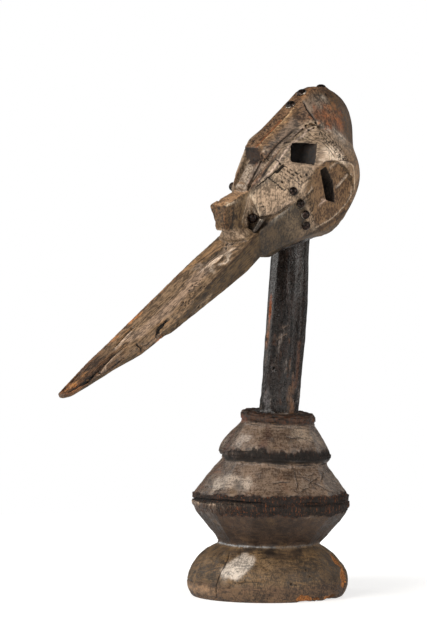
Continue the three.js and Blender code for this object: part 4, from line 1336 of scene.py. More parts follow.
    def washes(self) -> list[tuple[Wash, Chart]]:
        """Gives the rubbed, dusty and red places of the plinth, and its painted highlights and painted shadows."""
        at = self.around
        washes = [
            Wash(((at(-36), 35), (at(-27), 47)), 17.0, "b0a498", 0.85, 0.1, 0.6),
            Wash(((at(-28), 33), (at(-20), 45)), 15.0, "b0a498", 0.85, 0.1, 0.6),
            # Painted highlight: the bluish-white line along the waist's edge, fainter on the right.
            Wash(((at(-80), 62.6), (at(-53), 62), (at(-21), 61.5), (at(4), 61)), 1.7, "9aa0a4", 0.6, 0.6, 0.4),
            Wash(((at(4), 61), (at(33), 62), (at(52), 62.5)), 1.4, "5a5e60", 0.5, 0.7, 0.4),
            # Painted shadow under the tier's lip.
            Wash(((at(-80), 162), (at(-40), 162), (at(0), 161), (at(40), 159.5), (at(80), 159)), 6.0, "0c0a09", 0.9, 0.3, 0.3),
            # Painted shadow on the top of the foot, under the waist.
            Wash(((at(-60), 52), (at(-10), 60), (at(20), 58), (at(60), 58)), 6.0, "2a211a", 0.5, 0.6, 0.4),
            Wash(((at(-4), 55), (at(12), 52), (at(30), 55)), 10.0, "1c1512", 0.7, 0.5, 0.5),
            Wash(((at(8), 34), (at(34), 36), (at(66), 34)), 26.0, "3a2c1e", 0.45, 0.7, 0.4),
            Wash(((at(-92), 110.4), (at(-60), 111.2), (at(-30), 111.8), (at(-14), 111.4)), 2.8, "a38c76", 0.75, 0.5, 0.5),
            # Painted highlight on the drum's left.
            Wash(((at(-52), 132), (at(-38), 138), (at(-24), 134)), 17.0, "a89a8c", 0.6, 0.6, 0.7),
            Wash(((at(-62), 190), (at(-58), 178)), 16.0, "4a2c1e", 0.55, 0.7, 0.7),
            Wash(((at(-96), 122), (at(-84), 140), (at(-72), 156)), 22.0, "50321f", 0.55, 0.7, 0.6),
            # Painted highlight on the tier's left.
            Wash(((at(-38), 181), (at(-28), 186)), 11.0, "a3968a", 0.55, 0.7, 0.75),
            Wash(((at(-4), 198), (at(-5), 186), (at(-12), 176)), 8.0, "4a3026", 0.55, 0.7, 0.7),
            # Painted highlight on the tier's right.
            Wash(((at(28), 192), (at(48), 188), (at(64), 184)), 13.0, "978674", 0.5, 0.6, 0.6),
            Wash(((at(-92), 12), (at(-60), 11), (at(-46), 12)), 10.0, "94765a", 0.55, 0.6, 0.35),
            Wash(((at(72), 44), (at(76), 34), (at(74), 22)), 7.0, "c07a34", 0.9, 0.6, 0.3),
            Wash(((at(24), 3.5), (at(31), 3)), 4.4, "b5702e", 0.9, 0.5, 0.3),
            Wash(((at(46), 3), (at(54), 3.5)), 3.4, "a8682c", 0.8, 0.6, 0.3),
            Wash(((at(-100), 209), (at(-70), 208), (at(-40), 208)), 9.0, "6a3a24", 0.75, 0.6, 0.55),
        ]
        rng = np.random.default_rng(59)
        for number in range(90):
            degrees, height = rng.uniform(-100, 260), rng.uniform(8, 200)
            line = ((at(degrees), height), (at(degrees + rng.normal(0, 6)), height + rng.normal(0, 4)))
            colours = ("5c3c2a", "8c7c6c", "2c211a", "6e5a44") if height > 122 else ("3a2a1e", "5a4630", "2c211a")
            colour = colours[number % len(colours)]
            washes.append(Wash(line, rng.uniform(4, 12), colour, rng.uniform(0.2, 0.5), 0.9, 0.55))
        return [(wash, RoundChart(self.centre, self.radius)) for wash in washes]


@dataclass
class Zones:
    """Shares the carving out into stretches that each have their own patina; some stretches are painted highlight and
    some painted shade.
    """

    channel: tuple[Spot, ...] = ((-104, 466), (-97, 477), (-91, 484.5), (-80.8, 501), (-62.1, 526), (-46.3, 539.6), (-31.4, 550), (-16, 557))
    dome_edge: tuple[Spot, ...] = ((-16, 556), (3, 551), (16, 545.5), (28, 538.5), (45, 534), (70, 527), (90, 524))
    jaw_edge: tuple[Spot, ...] = ((-92, 427), (-86, 431), (-74, 444.5), (-55, 462), (-30, 466))
    window: tuple[Spot, ...] = ((-56, 529), (-31, 530), (-34.5, 506), (-58.5, 508))
    slot: tuple[Spot, ...] = ((-19.5, 500), (-11, 505), (4.5, 489), (13, 464.5), (-4, 467))

    @staticmethod
    def within(skin: WoodSkin, corners: tuple[Spot, ...], margin: float) -> np.ndarray:
        """Marks what lies inside a convex outline, seen from the side.

        Args:
            skin: The carving's skin.
            corners: The outline's corners, in order.
            margin: How far outside the outline the mark still holds, in mm.

        Returns:
            1 inside, 0 outside.
        """
        outline = np.array(corners)
        middle = outline.mean(0)
        result = np.ones(len(skin.head))
        for first, second in zip(outline, np.roll(outline, -1, axis=0)):
            way = (second - first) / np.linalg.norm(second - first)
            outward = np.array([way[1], -way[0]])
            if (middle - first) @ outward > 0:
                outward = -outward
            result *= ease((skin.head[:, 1:3] - first) @ outward, margin + 0.6, margin)
        return result

    def head_layers(self, skin: WoodSkin) -> list[tuple[Patina, np.ndarray]]:
        """Gives the stretches of the head.

        Args:
            skin: The carving's skin.

        Returns:
            Patinas with where they lie, the later over the earlier.
        """
        x, y, z = skin.head.T
        across, _, upward = skin.head_normals.T
        stir = 1.6 * layered_noise(skin.points, 9.0, 301)
        from_channel = z + 0.5 * stir - np.interp(y, *np.array(self.channel).T)
        above_channel = ease(from_channel, -0.5, 1.2)
        crest = above_channel * ease(y, -12.0, -16.0)
        brow = ease(from_channel, 0.0, -1.2) * ease(from_channel, -17.0, -13.0) * ease(y, -28.0, -36.0)
        dome = ease(y, -18.0, -15.0) * ease(z + stir - np.interp(y, *np.array(self.dome_edge).T), -1.0, 2.0)
        dome_rear = dome * ease(y + 0.5 * (z - 560.0) + 2.0 * stir, 16.0, 30.0)
        strip = ease(y, 34.0, 28.0) * ease(np.abs(x), 12.0, 10.6) * ease(upward, 0.35, 0.6) * ease(z, 516.0, 519.0)
        # Painted shade and end grain on the faces that look forwards at the crest's front end.
        end = ease(y, -79.0, -82.0) * inside(z, 502.0, 520.0, 1.5) * ease(skin.head_normals[:, 1], -0.3, -0.5)
        roll = ease(y, -67.0, -69.0) * ease(np.abs(x), 9.6, 8.8) * ease(z, 514.0, 512.0) * ease(z, 466.0, 470.0)
        ear = inside(np.hypot(y + 3.0, z - 469.5), 0.0, 43.0, 1.2) * ease(y + 0.72 * (z - 469.5), -42.0, -36.0)
        ear *= ease(np.abs(x), 38.0, 42.0) * ease(np.abs(across), 0.3, 0.6)
        # Painted highlight above the slot.
        painted_highlight_above_slot = inside(np.hypot((y + 4.0) / 1.7, z - 514.0), 0.0, 10.0, 8.0) * (1.0 - ear)
        rear = ease(y + 0.6 * (z - 470.0), 40.0, 52.0) * ease(z, 530.0, 522.0) * (1.0 - ear)
        # Painted shade on the faces of the head that look downwards.
        under = ease(-upward, 0.15, 0.5) * ease(y, -60.0, -40.0)
        jaw = ease(z - np.interp(y, *np.array(self.jaw_edge).T), 0.8, -0.8) * ease(y, -34.0, -39.0) * ease(y, -100.0, -92.0)
        nose = ease(y, -96.0, -100.0) * ease(z, 424.0, 430.0) * (1.0 - roll)
        nose_end = nose * ease(y, -118.0, -121.0)
        return [
            (BROW_WOOD, brow),
            (ABOVE_SLOT_PAINTED_HIGHLIGHT, painted_highlight_above_slot * 0.85),
            (EAR_WOOD, rear * 0.7),
            (CREST_WOOD, crest * (1.0 - roll)),
            (DOME_WOOD, dome),
            (DOME_REAR_WOOD, dome_rear),
            (CREST_TOP_WOOD, strip),
            (ROLL_WOOD, roll),
            (CREST_END_GRAIN_IN_SHADE, end),
            (EAR_WOOD, ear),
            (BEAK_SIDE_WOOD_IN_SHADE, under * 0.8),
            (JAW_WOOD, jaw),
            (NOSE_WOOD, nose),
            (NOSE_END_WOOD, nose_end),
            # Painted shade and soot inside the square hole and the slot.
            (WINDOW_SOOT_AND_SHADE, self.within(skin, self.window, 0.9) * ease(np.abs(across), 0.8, 0.6)),
            (SLOT_SOOT_AND_SHADE, self.within(skin, self.slot, 0.9) * ease(np.abs(across), 0.8, 0.6)),
        ]

    def paint(self, skin: WoodSkin, carving: "Carving") -> None:
        """Works out each place's colours and shine.

        Args:
            skin: The carving's skin.
            carving: The carving, whose parts know their own zones.
        """
        neck = carving.neck.zone(skin)
        plinth = carving.plinth.zone(skin, neck)
        beak = carving.beak.zone(skin)
        y, height = skin.head[:, 1], skin.points[:, 2]
        stir = 1.6 * layered_noise(skin.points, 9.0, 301)
        foot = plinth * ease(height, 64.0, 60.0)
        waist = plinth * ease(height + 3.0 * stir, 103.0, 97.0) * (1.0 - foot)
        band = foot * ease(height + 1.5 * stir, 22.0, 17.0)
        rim = plinth * ease(height + (skin.head[:, 0] - 20.0) * 0.09, 201.0, 204.0)
        everywhere = np.ones(len(y))
        layers = [(HEAD_WOOD, everywhere), *self.head_layers(skin)]
        layers += [
            (BEAK_WOOD, beak),
            (BEAK_FRONT_WOOD, beak * ease(-y, 262.0, 316.0)),
            (BEAK_SIDE_WOOD_IN_SHADE, beak * carving.beak.side_shade_zone(skin)),
            (NECK_WOOD, neck),
            (TIER_WOOD, plinth),
            (WAIST_WOOD, waist),
            (FOOT_WOOD, foot),
            (FOOT_BAND_WOOD, band),
            (RIM_WOOD, rim),
            (DRUM_LIP_WOOD, carving.plinth.lips(skin) * plinth * ease(height, 150.0, 148.0)),
            (TIER_LIP_WOOD, carving.plinth.lips(skin) * plinth * ease(height, 148.0, 150.0)),
        ]
        places = np.arange(len(y))
        for patina, share in layers:
            skin.tint(places, share, patina)
        # Painted light and shade of the plinth's flats.
        for layer in skin.tones.values():
            layer[:, :3] *= (1.0 + (carving.plinth.shade(skin) - 1.0) * plinth)[:, None]
        crest_grain = ease(skin.head[:, 2], 500.0, 506.0) * ease(y, -10.0, -16.0)
        skin.marks[Mark.ALONG_BEAK] = beak
        skin.marks[Mark.ALONG_CREST] = crest_grain
        skin.marks[Mark.TURNED] = plinth
        for part in (carving.relief, carving.beak, carving.neck, carving.plinth):
            for wash, chart in part.washes():
                wash.lay(skin, chart)


def evaluated_mesh(piece: bpy.types.Object) -> bpy.types.Mesh:
    """Takes the mesh that an object's modifiers make.

    Args:
        piece: An object with modifiers.

    Returns:
        A new mesh.
    """
    graph = bpy.context.evaluated_depsgraph_get()
    return bpy.data.meshes.new_from_object(piece.evaluated_get(graph), preserve_all_data_layers=True, depsgraph=graph)


def bake_modifier(piece: bpy.types.Object, kind: str, **settings: object) -> None:
    """Runs one modifier and keeps its result.

    Args:
        piece: The object, whose mesh is replaced.
        kind: The modifier's type.
        **settings: The modifier's settings.
    """
    modifier = piece.modifiers.new(kind.title(), kind)
    for name, value in settings.items():
        setattr(modifier, name, value)
    mesh = evaluated_mesh(piece)
    old = piece.data
    piece.modifiers.remove(modifier)
    piece.data = mesh
    bpy.data.meshes.remove(old)


def add_object(name: str, mesh: bpy.types.Mesh) -> bpy.types.Object:
    """Links a mesh to the scene as a new object."""
    piece = bpy.data.objects.new(name, mesh)
    bpy.context.scene.collection.objects.link(piece)
    return piece


class NodeGraph:
    """A short way to write a material's nodes."""

    def __init__(self, name: str) -> None:
        """Starts a material with a principled shader.

        Args:
            name: The material's name.
        """
        self.material = bpy.data.materials.new(name)
        self.material.use_nodes = True
        self.nodes = self.material.node_tree.nodes
        self.links = self.material.node_tree.links
        self.shader = next(node for node in self.nodes if node.type == "BSDF_PRINCIPLED")

    def put(self, target: bpy.types.NodeSocket, value: object) -> None:
        """Links a socket to another, or sets its own value.

        Args:
            target: An input socket.
            value: An output socket, or a value.
        """
        if isinstance(value, bpy.types.NodeSocket):
            self.links.new(value, target)
        else:
            target.default_value = value

    def attribute(self, name: str) -> bpy.types.Node:
        """Reads a named attribute of the mesh."""
        node = self.nodes.new("ShaderNodeAttribute")
        node.attribute_name = name
        return node

    def mark(self, mark: Mark) -> bpy.types.NodeSocket:
        """Reads one of the skin's marks."""
        return self.attribute(mark.value).outputs["Fac"]

    def tone(self, tone: Tone) -> bpy.types.NodeSocket:
        """Reads one of the skin's colours."""
        return self.attribute(tone.value).outputs["Color"]

    def place(self, scale: Place, turn: Place = (0, 0, 0)) -> bpy.types.NodeSocket:
        """Gives the object's own coordinates, turned and scaled.

        Args:
            scale: How many units there are to a metre, on each axis.
            turn: Turn about each axis, in degrees.

        Returns:
            The coordinates.
        """
        source = self.nodes.new("ShaderNodeTexCoord")
        turned = self.nodes.new("ShaderNodeMapping")
        turned.inputs["Rotation"].default_value = [math.radians(angle) for angle in turn]
        self.links.new(source.outputs["Object"], turned.inputs["Vector"])
        scaled = self.nodes.new("ShaderNodeMapping")
        scaled.inputs["Scale"].default_value = scale
        self.links.new(turned.outputs["Vector"], scaled.inputs["Vector"])
        return scaled.outputs["Vector"]

    def noise(self, place: bpy.types.NodeSocket, detail: float = 3.0, twist: float = 0.0) -> bpy.types.NodeSocket:
        """Adds smooth noise.

        Args:
            place: Coordinates, already scaled.
            detail: How many finer layers there are.
            twist: Distortion.

        Returns:
            A value around 0.5.
        """
        node = self.nodes.new("ShaderNodeTexNoise")
        node.inputs["Scale"].default_value = 1.0
        node.inputs["Detail"].default_value = detail
        node.inputs["Distortion"].default_value = twist
        self.links.new(place, node.inputs["Vector"])
        return node.outputs["Fac"]

    def crackle(self, place: bpy.types.NodeSocket) -> bpy.types.NodeSocket:
        """Adds a web of fine lines: 1 on a line, 0 between."""
        node = self.nodes.new("ShaderNodeTexVoronoi")
        node.feature = "DISTANCE_TO_EDGE"
        node.inputs["Scale"].default_value = 1.0
        self.links.new(place, node.inputs["Vector"])
        return self.span(node.outputs["Distance"], 0.012, 0.04, 1.0, 0.0)

    def math(self, kind: str, first: object, second: object = 0.0) -> bpy.types.NodeSocket:
        """Adds a sum, a product or another step of two values."""
        node = self.nodes.new("ShaderNodeMath")
        node.operation = kind
        self.put(node.inputs[0], first)
        self.put(node.inputs[1], second)
        return node.outputs[0]

    def span(self, value: object, low: float, high: float, start: float = 0.0, end: float = 1.0) -> bpy.types.NodeSocket:
        """Stretches a range smoothly onto another.

        Args:
            value: The value.
            low: Where the result is start.
            high: Where the result is end.
            start: The result at low.
            end: The result at high.

        Returns:
            The stretched value.
        """
        node = self.nodes.new("ShaderNodeMapRange")
        node.interpolation_type = "SMOOTHSTEP"
        self.put(node.inputs["Value"], value)
        node.inputs["From Min"].default_value = low
        node.inputs["From Max"].default_value = high
        node.inputs["To Min"].default_value = start
        node.inputs["To Max"].default_value = end
        return node.outputs["Result"]

    def mix(self, share: object, first: object, second: object, kind: str = "MIX") -> bpy.types.NodeSocket:
        """Mixes two colours.

        Args:
            share: How much of the second there is.
            first: A colour.
            second: A colour.
            kind: How they mix.

        Returns:
            The mixed colour.
        """
        node = self.nodes.new("ShaderNodeMix")
        node.data_type = "RGBA"
        node.blend_type = kind
        self.put(node.inputs["Factor"], share)
        self.put(node.inputs[6], first)
        self.put(node.inputs[7], second)
        return node.outputs[2]

    def blend(self, share: object, first: object, second: object) -> bpy.types.NodeSocket:
        """Mixes two plain values."""
        node = self.nodes.new("ShaderNodeMix")
        self.put(node.inputs["Factor"], share)
        self.put(node.inputs[2], first)
        self.put(node.inputs[3], second)
        return node.outputs[0]

    def length(self, place: bpy.types.NodeSocket) -> bpy.types.NodeSocket:
        """Measures how far a place is from the middle."""
        node = self.nodes.new("ShaderNodeVectorMath")
        node.operation = "LENGTH"
        self.links.new(place, node.inputs[0])
        return node.outputs["Value"]

    def bump(self, height: bpy.types.NodeSocket, depth: float, under: object = None) -> bpy.types.NodeSocket:
        """Adds a bump.

        Args:
            height: The height, in units of depth.
            depth: Depth in metres.
            under: A bump that this one lies on.

        Returns:
            The bumped normal.
        """
        node = self.nodes.new("ShaderNodeBump")
        node.inputs["Distance"].default_value = depth
        self.links.new(height, node.inputs["Height"])
        if under is not None:
            self.links.new(under, node.inputs["Normal"])
        return node.outputs["Normal"]


@dataclass(frozen=True)
class CarvedWoodFinish:
    """Old handled wood: mottled grain, scratches, rubbed edges, dirt and painted shade in the cuts and hollows, end
    grain and raw breaks.
    """

    dirt_and_shade: str = "0c0907"
    raw_dark: str = "5c3418"
    raw_light: str = "b5763c"
    lip_dark: str = "120b06"
    beak_slope_deg: float = 33.6

    def along_grain(self, g: NodeGraph, scale: Place, detail: float, twist: float = 0.0) -> bpy.types.NodeSocket:
        """Adds noise drawn out along the wood: upright, down the beak, or level along the crest.

        Args:
            g: The material's graph.
            scale: Cells to a metre, the last one along the grain.
            detail: How many finer layers there are.
            twist: Distortion.

        Returns:
            A value around 0.5.
        """
        upright = g.noise(g.place(scale), detail, twist)
        drawn = (scale[0], scale[1], scale[2] * 0.35)
        down_beak = g.noise(g.place(drawn, (-self.beak_slope_deg - 90.0, 0.0, 0.0)), detail, twist)
        level = g.noise(g.place(drawn, (90.0, 0.0, 0.0)), detail, twist)
        mixed = g.blend(g.mark(Mark.ALONG_BEAK), upright, down_beak)
        return g.blend(g.mark(Mark.ALONG_CREST), mixed, level)

    def worn_wood(self, g: NodeGraph, fine: bpy.types.NodeSocket, mottle: bpy.types.NodeSocket) -> bpy.types.NodeSocket:
        """Colours the handled surface.

        Args:
            g: The material's graph.
            fine: Fine noise along the grain.
            mottle: Coarser noise.

        Returns:
            The colour.
        """
        cloud = g.noise(g.place((62.0, 62.0, 62.0)), 4.0, 0.6)
        together = g.math("ADD", g.math("MULTIPLY", fine, 0.25), g.math("MULTIPLY", mottle, 0.45))
        together = g.math("ADD", together, g.math("MULTIPLY", cloud, 0.3))
        colour = g.mix(g.span(together, 0.43, 0.57), g.tone(Tone.DARK), g.tone(Tone.LIGHT))
        streak = g.span(self.along_grain(g, (420.0, 420.0, 26.0), 3.0), 0.53, 0.66)
        colour = g.mix(g.math("MULTIPLY", streak, g.mark(Mark.STREAK)), colour, g.tone(Tone.STREAK))
        scratch = g.span(self.along_grain(g, (760.0, 760.0, 40.0), 2.0), 0.59, 0.66, 0.0, 0.55)
        scratch = g.math("MULTIPLY", scratch, g.span(g.mark(Mark.TURNED), 0.0, 1.0, 1.0, 0.25))
        colour = g.mix(scratch, colour, linear(self.dirt_and_shade))
        rubbed = g.span(g.noise(g.place((55.0, 70.0, 1300.0), (22.0, 14.0, 0.0)), 2.0), 0.6, 0.68, 0.0, 0.45)
        rubbed = g.math("MULTIPLY", rubbed, g.math("ADD", 0.25, g.mark(Mark.TURNED)))
        colour = g.mix(rubbed, colour, g.tone(Tone.WORN))
        crackle = g.math("MULTIPLY", g.crackle(g.place((80.0, 80.0, 60.0))), g.span(cloud, 0.5, 0.58, 0.0, 0.45))
        colour = g.mix(g.math("MULTIPLY", crackle, g.mark(Mark.TURNED)), colour, linear(self.dirt_and_shade))
        wear = g.math("MULTIPLY", g.mark(Mark.WEAR), g.span(mottle, 0.4, 0.6, 0.12, 0.85))
        return g.mix(wear, colour, g.tone(Tone.WORN))

    def build(self) -> bpy.types.Material:
        """Makes the material.

        Returns:
            The material of the carving.
        """
        g = NodeGraph("carved_wood")
        fine = self.along_grain(g, (1150.0, 1150.0, 280.0), 3.0, 0.3)
        mottle = self.along_grain(g, (460.0, 460.0, 320.0), 4.0, 0.3)
        wiped = g.noise(g.place((90.0, 90.0, 420.0), (9.0, 6.0, 0.0)), 4.0, 0.6)
        mottle = g.blend(g.math("MULTIPLY", g.mark(Mark.TURNED), 0.5), mottle, wiped)
        speck = g.noise(g.place((1500.0, 1500.0, 1500.0)), 2.0)
        colour = self.worn_wood(g, fine, mottle)
        colour = g.mix(g.span(speck, 0.3, 0.44, 0.4, 0.0), colour, linear(self.dirt_and_shade))
        raw_tone = g.mix(g.span(fine, 0.38, 0.62), linear(self.raw_dark), linear(self.raw_light))
        raw_edge = g.math("ADD", g.mark(Mark.RAW), g.math("MULTIPLY", g.math("SUBTRACT", speck, 0.5), 0.6))
        raw = g.span(raw_edge, 0.3, 0.6)
        colour = g.mix(raw, colour, raw_tone)
        fibre = g.noise(g.place((900.0, 900.0, 80.0)), 3.0, 0.2)
        lip_tone = g.mix(g.span(fibre, 0.56, 0.7), linear(self.lip_dark), g.tone(Tone.STREAK))
        lip_edge = g.math("ADD", g.mark(Mark.LIP), g.math("MULTIPLY", g.math("SUBTRACT", fibre, 0.5), 1.4))
        lip = g.span(lip_edge, 0.38, 0.62)
        colour = g.mix(g.math("MULTIPLY", lip, 0.92), colour, lip_tone)
        # Cuts and hollows are darkened towards the dark colour: dirt, and painted shade.
        dirt_and_shade = g.math("MAXIMUM", g.mark(Mark.CUT), g.math("MULTIPLY", g.mark(Mark.HOLLOW_SHADE_AND_DIRT), 0.7))
        dirt_and_shade = g.span(dirt_and_shade, 0.14, 0.8, 0.0, 0.92)
        colour = g.mix(dirt_and_shade, colour, linear(self.dirt_and_shade))
        g.put(g.shader.inputs["Base Color"], colour)
        dull = g.math("MAXIMUM", g.math("MAXIMUM", raw, lip), dirt_and_shade)
        rough = g.span(g.mark(Mark.SHINE), 0.0, 1.0, 0.76, 0.17)
        rough = g.math("ADD", rough, g.span(mottle, 0.36, 0.64, -0.08, 0.14))
        g.put(g.shader.inputs["Roughness"], g.blend(dull, rough, 0.74))
        coat = g.math("MULTIPLY", g.span(g.mark(Mark.SHINE), 0.45, 0.9, 0.0, 0.2), g.math("SUBTRACT", 1.0, dull))
        g.put(g.shader.inputs["Coat Weight"], coat)
        g.shader.inputs["Coat Roughness"].default_value = 0.2
        g.shader.inputs["Specular IOR Level"].default_value = 0.35
        first = g.bump(g.math("ADD", g.math("MULTIPLY", fine, 0.5), g.math("MULTIPLY", mottle, 0.5)), 0.0006)
        second = g.bump(g.math("MULTIPLY", speck, g.math("ADD", 0.25, dull)), 0.0006, first)
        g.put(g.shader.inputs["Normal"], second)
        g.put(g.shader.inputs["Coat Normal"], first)
        return g.material


@dataclass(frozen=True)
class OldIronFinish:
    """Dark handled iron: nearly black on the dome, bright where it is rubbed, with a little rust."""

    name: str = "old_iron"
    dark: str = "120e0c"
    rubbed: str = "b4aa9c"
    rust: str = "2c1a10"

    def build(self) -> bpy.types.Material:
        """Makes the material.

        Returns:
            The material of studs and pegs.
        """
        g = NodeGraph(self.name)
        patches = g.noise(g.place((420.0, 420.0, 420.0)), 4.0, 0.5)
        fine = g.noise(g.place((2200.0, 2200.0, 2200.0)), 3.0)
        colour = g.mix(g.span(patches, 0.46, 0.62), linear(self.dark), linear(self.rust))
        rubbed = g.math("MULTIPLY", g.mark(Mark.WEAR), g.span(fine, 0.3, 0.6, 0.45, 1.0))
        colour = g.mix(rubbed, colour, linear(self.rubbed))
        g.put(g.shader.inputs["Base Color"], colour)
        g.put(g.shader.inputs["Metallic"], g.span(patches, 0.45, 0.7, 0.85, 0.4))
        g.put(g.shader.inputs["Roughness"], g.span(fine, 0.25, 0.75, 0.2, 0.42))
        first = g.bump(patches, 0.0004)
        g.put(g.shader.inputs["Normal"], g.bump(fine, 0.00012, first))
        return g.material


@dataclass(frozen=True)
class FloorFinish:
    """A smooth white studio floor that brightens into the white room."""

    white: str = "fbfbfb"
    shade: str = "f6f6f6"
    near_m: float = 0.12
    far_m: float = 0.5
    near_glow: float = 0.6
    far_glow: float = 0.85
    cast: float = 0.3

    def build(self) -> bpy.types.Material:
        """Makes the material.

        Returns:
            The material of the floor.
        """
        g = NodeGraph("studio_floor")
        cloud = g.noise(g.place((3.0, 3.0, 3.0)), 2.0)
        g.put(g.shader.inputs["Base Color"], g.mix(g.span(cloud, 0.3, 0.7), linear(self.white), linear(self.shade)))
        g.put(g.shader.inputs["Roughness"], g.span(cloud, 0.3, 0.7, 0.14, 0.18))
        away = g.length(g.place((1.0, 1.0, 0.0)))
        g.shader.inputs["Emission Color"].default_value = (1.0, 1.0, 1.0, 1.0)
        glow = g.span(away, self.near_m, self.far_m, self.near_glow, self.far_glow)
        seen = g.nodes.new("ShaderNodeLightPath").outputs["Is Camera Ray"]
        g.put(g.shader.inputs["Emission Strength"], g.math("MULTIPLY", glow, g.span(seen, 0.0, 1.0, self.cast, 1.0)))
        return g.material


@dataclass
class Carving:
    """The one carved piece: head, neck and plinth."""

    node: str = "tshol_carving"
    name: str = "shrine_figure_carving"
    head: HeadFrame = field(default_factory=HeadFrame)
    beak: Beak = field(default_factory=Beak)
    relief: HeadRelief = field(default_factory=HeadRelief)
    neck: Neck = field(default_factory=Neck)
    plinth: Plinth = field(default_factory=Plinth)
    zones: Zones = field(default_factory=Zones)
    voxel_mm: float = 0.8
    quick_voxel_mm: float = 1.3
    rounding_mm: float = 6.0
    faces: int = 196000

    def build(self) -> bpy.types.Object:
        """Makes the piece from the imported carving.

        Returns:
            The finished object.
        """
        piece = add_object(self.name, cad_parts[self.node].data.copy())
        piece.data.materials.clear()
        size = self.voxel_mm * MM
        bake_modifier(piece, "REMESH", mode="VOXEL", voxel_size=size, adaptivity=0.0)
        skin = WoodSkin(piece.data, self.head)
        log.info("carving: %d places in the dense skin", len(skin.points))
        self.shape(skin)
        self.colour(skin)
        self.write(skin)
        self.thin(piece)
        piece.data.polygons.foreach_set("use_smooth", [True] * len(piece.data.polygons))
        piece.data.materials.append(CarvedWoodFinish().build())
        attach(piece, BODY)
        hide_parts(self.node)
        return piece

    def shape(self, skin: WoodSkin) -> None:
        """Wears and cuts the skin.

        Args:
            skin: The carving's skin.
        """
        neck = self.neck.zone(skin)
        plinth = self.plinth.zone(skin, neck)
        skin.soften(3)
        skin.soften(14, np.maximum.reduce([neck, plinth * 0.6, self.beak.zone(skin) * 0.8]))
        skin.round_off(self.rounding_mm, self.relief.round_zone(skin) * (1.0 - neck))
        slow = 0.35 * layered_noise(skin.points, 26.0, 401, 2) + 0.12 * layered_noise(skin.points, 7.0, 405, 2)
        skin.sink(slow * ease(skin.points[:, 2], 0.0, 4.0))
        skin.refresh()
        self.neck.carve(skin)
        self.plinth.carve(skin, plinth)
        skin.refresh()
        self.beak.carve(skin)
        self.relief.carve(skin)
        low = np.array(CAD_BOX[0]) / MM
        high = np.array(CAD_BOX[1]) / MM
        skin.points = np.clip(skin.points, low, high)
        skin.refresh()

    def colour(self, skin: WoodSkin) -> None:
        """Works out marks and colours.

        Args:
            skin: The carving's skin.
        """
        scale = self.quick_voxel_mm / self.voxel_mm
        stands = skin.curvature(int(4 * scale))
        uneven = 0.6 + 0.4 * value_noise(skin.points, 5.0, 411)
        skin.mark(Mark.WEAR, ease(stands, 0.14, 0.6) * 0.75 * uneven)
        # Painted shade and dirt: concave places, small and broad, are marked to be darkened in the finish.
        broad = skin.curvature(int(16 * scale))
        skin.mark(Mark.HOLLOW_SHADE_AND_DIRT, np.maximum(ease(-stands, 0.15, 0.7), ease(-broad, 0.4, 1.6)))
        self.zones.paint(skin, self)

    def write(self, skin: WoodSkin) -> None:
        """Stores marks and colours as attributes of the mesh.

        Args:
            skin: The carving's skin.
        """
        for mark, values in skin.marks.items():
            layer = skin.mesh.attributes.new(mark.value, "FLOAT", "POINT")
            layer.data.foreach_set("value", np.clip(values, 0.0, 1.0).astype(np.float32))
        for tone, values in skin.tones.items():
            layer = skin.mesh.attributes.new(tone.value, "FLOAT_COLOR", "POINT")
            layer.data.foreach_set("color", values.astype(np.float32).ravel())

    def thin(self, piece: bpy.types.Object) -> None:
        """Takes out faces where the skin is plain.

        Args:
            piece: The object.
        """
        triangles = sum(len(polygon.vertices) - 2 for polygon in piece.data.polygons)
        bake_modifier(piece, "DECIMATE", ratio=self.faces / triangles, use_collapse_triangulate=True)
        log.info("carving: %d of %d triangles kept", len(piece.data.polygons), triangles)


@dataclass(frozen=True)
class Seat:
    """Where a turned piece sits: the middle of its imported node's head, the way it points, and its size in mm."""

    middle: np.ndarray
    way: np.ndarray
    low: float
    high: float
    radius: float

    @staticmethod
    def of(node: str) -> "Seat":
        """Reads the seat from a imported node.

        Args:
            node: The node's name.

        Returns:
            The seat.
        """
        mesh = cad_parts[node].data
        flat = np.zeros(len(mesh.vertices) * 3, np.float32)
        mesh.vertices.foreach_get("co", flat)
        points = flat.reshape(-1, 3).astype(float) / MM
        middle = points.mean(0)
        values, ways = np.linalg.eigh(np.cov((points - middle).T))
        gaps = [abs(values[1] - values[2]), abs(values[0] - values[2]), abs(values[0] - values[1])]
        way = ways[:, int(np.argmin(gaps))]
        along = (points - middle) @ way
        away = np.linalg.norm(points - middle - along[:, None] * way, axis=1)
        if along[away > away.max() * 0.9].mean() < (along.min() + along.max()) / 2:
            way = -way
            along = -along
        return Seat(middle, way, float(along.min()), float(along.max()), float(away.max()))

    def turn(self) -> Matrix:
        """Gives the turn and move that carry a lathe's upright axis into the seat."""
        turn = Vector((0, 0, 1)).rotation_difference(Vector(self.way)).to_matrix().to_4x4()
        return Matrix.Translation(Vector(self.middle)) @ turn


def lathe(profile: list[Spot], sides: int) -> tuple[np.ndarray, list[tuple[int, ...]]]:
    """Turns an outline about the upright axis.

    Args:
        profile: Radius and height, from the lowest middle to the highest middle.
        sides: How many sides there are.

    Returns:
        Places and faces of a closed body.
    """
    rings = profile[1:-1]
    points = [(0.0, 0.0, profile[0][1])]
    for radius, height in rings:
        for side in range(sides):
            angle = 2 * math.pi * side / sides
            points.append((radius * math.cos(angle), radius * math.sin(angle), height))
    points.append((0.0, 0.0, profile[-1][1]))
    faces: list[tuple[int, ...]] = []
    last = len(points) - 1
    for side in range(sides):
        following = (side + 1) % sides
        faces.append((0, 1 + following, 1 + side))
        for ring in range(len(rings) - 1):
            low, high = 1 + ring * sides, 1 + (ring + 1) * sides
            faces.append((low + side, low + following, high + following, high + side))
        top = 1 + (len(rings) - 1) * sides
        faces.append((last, top + side, top + following))
    return np.array(points), faces


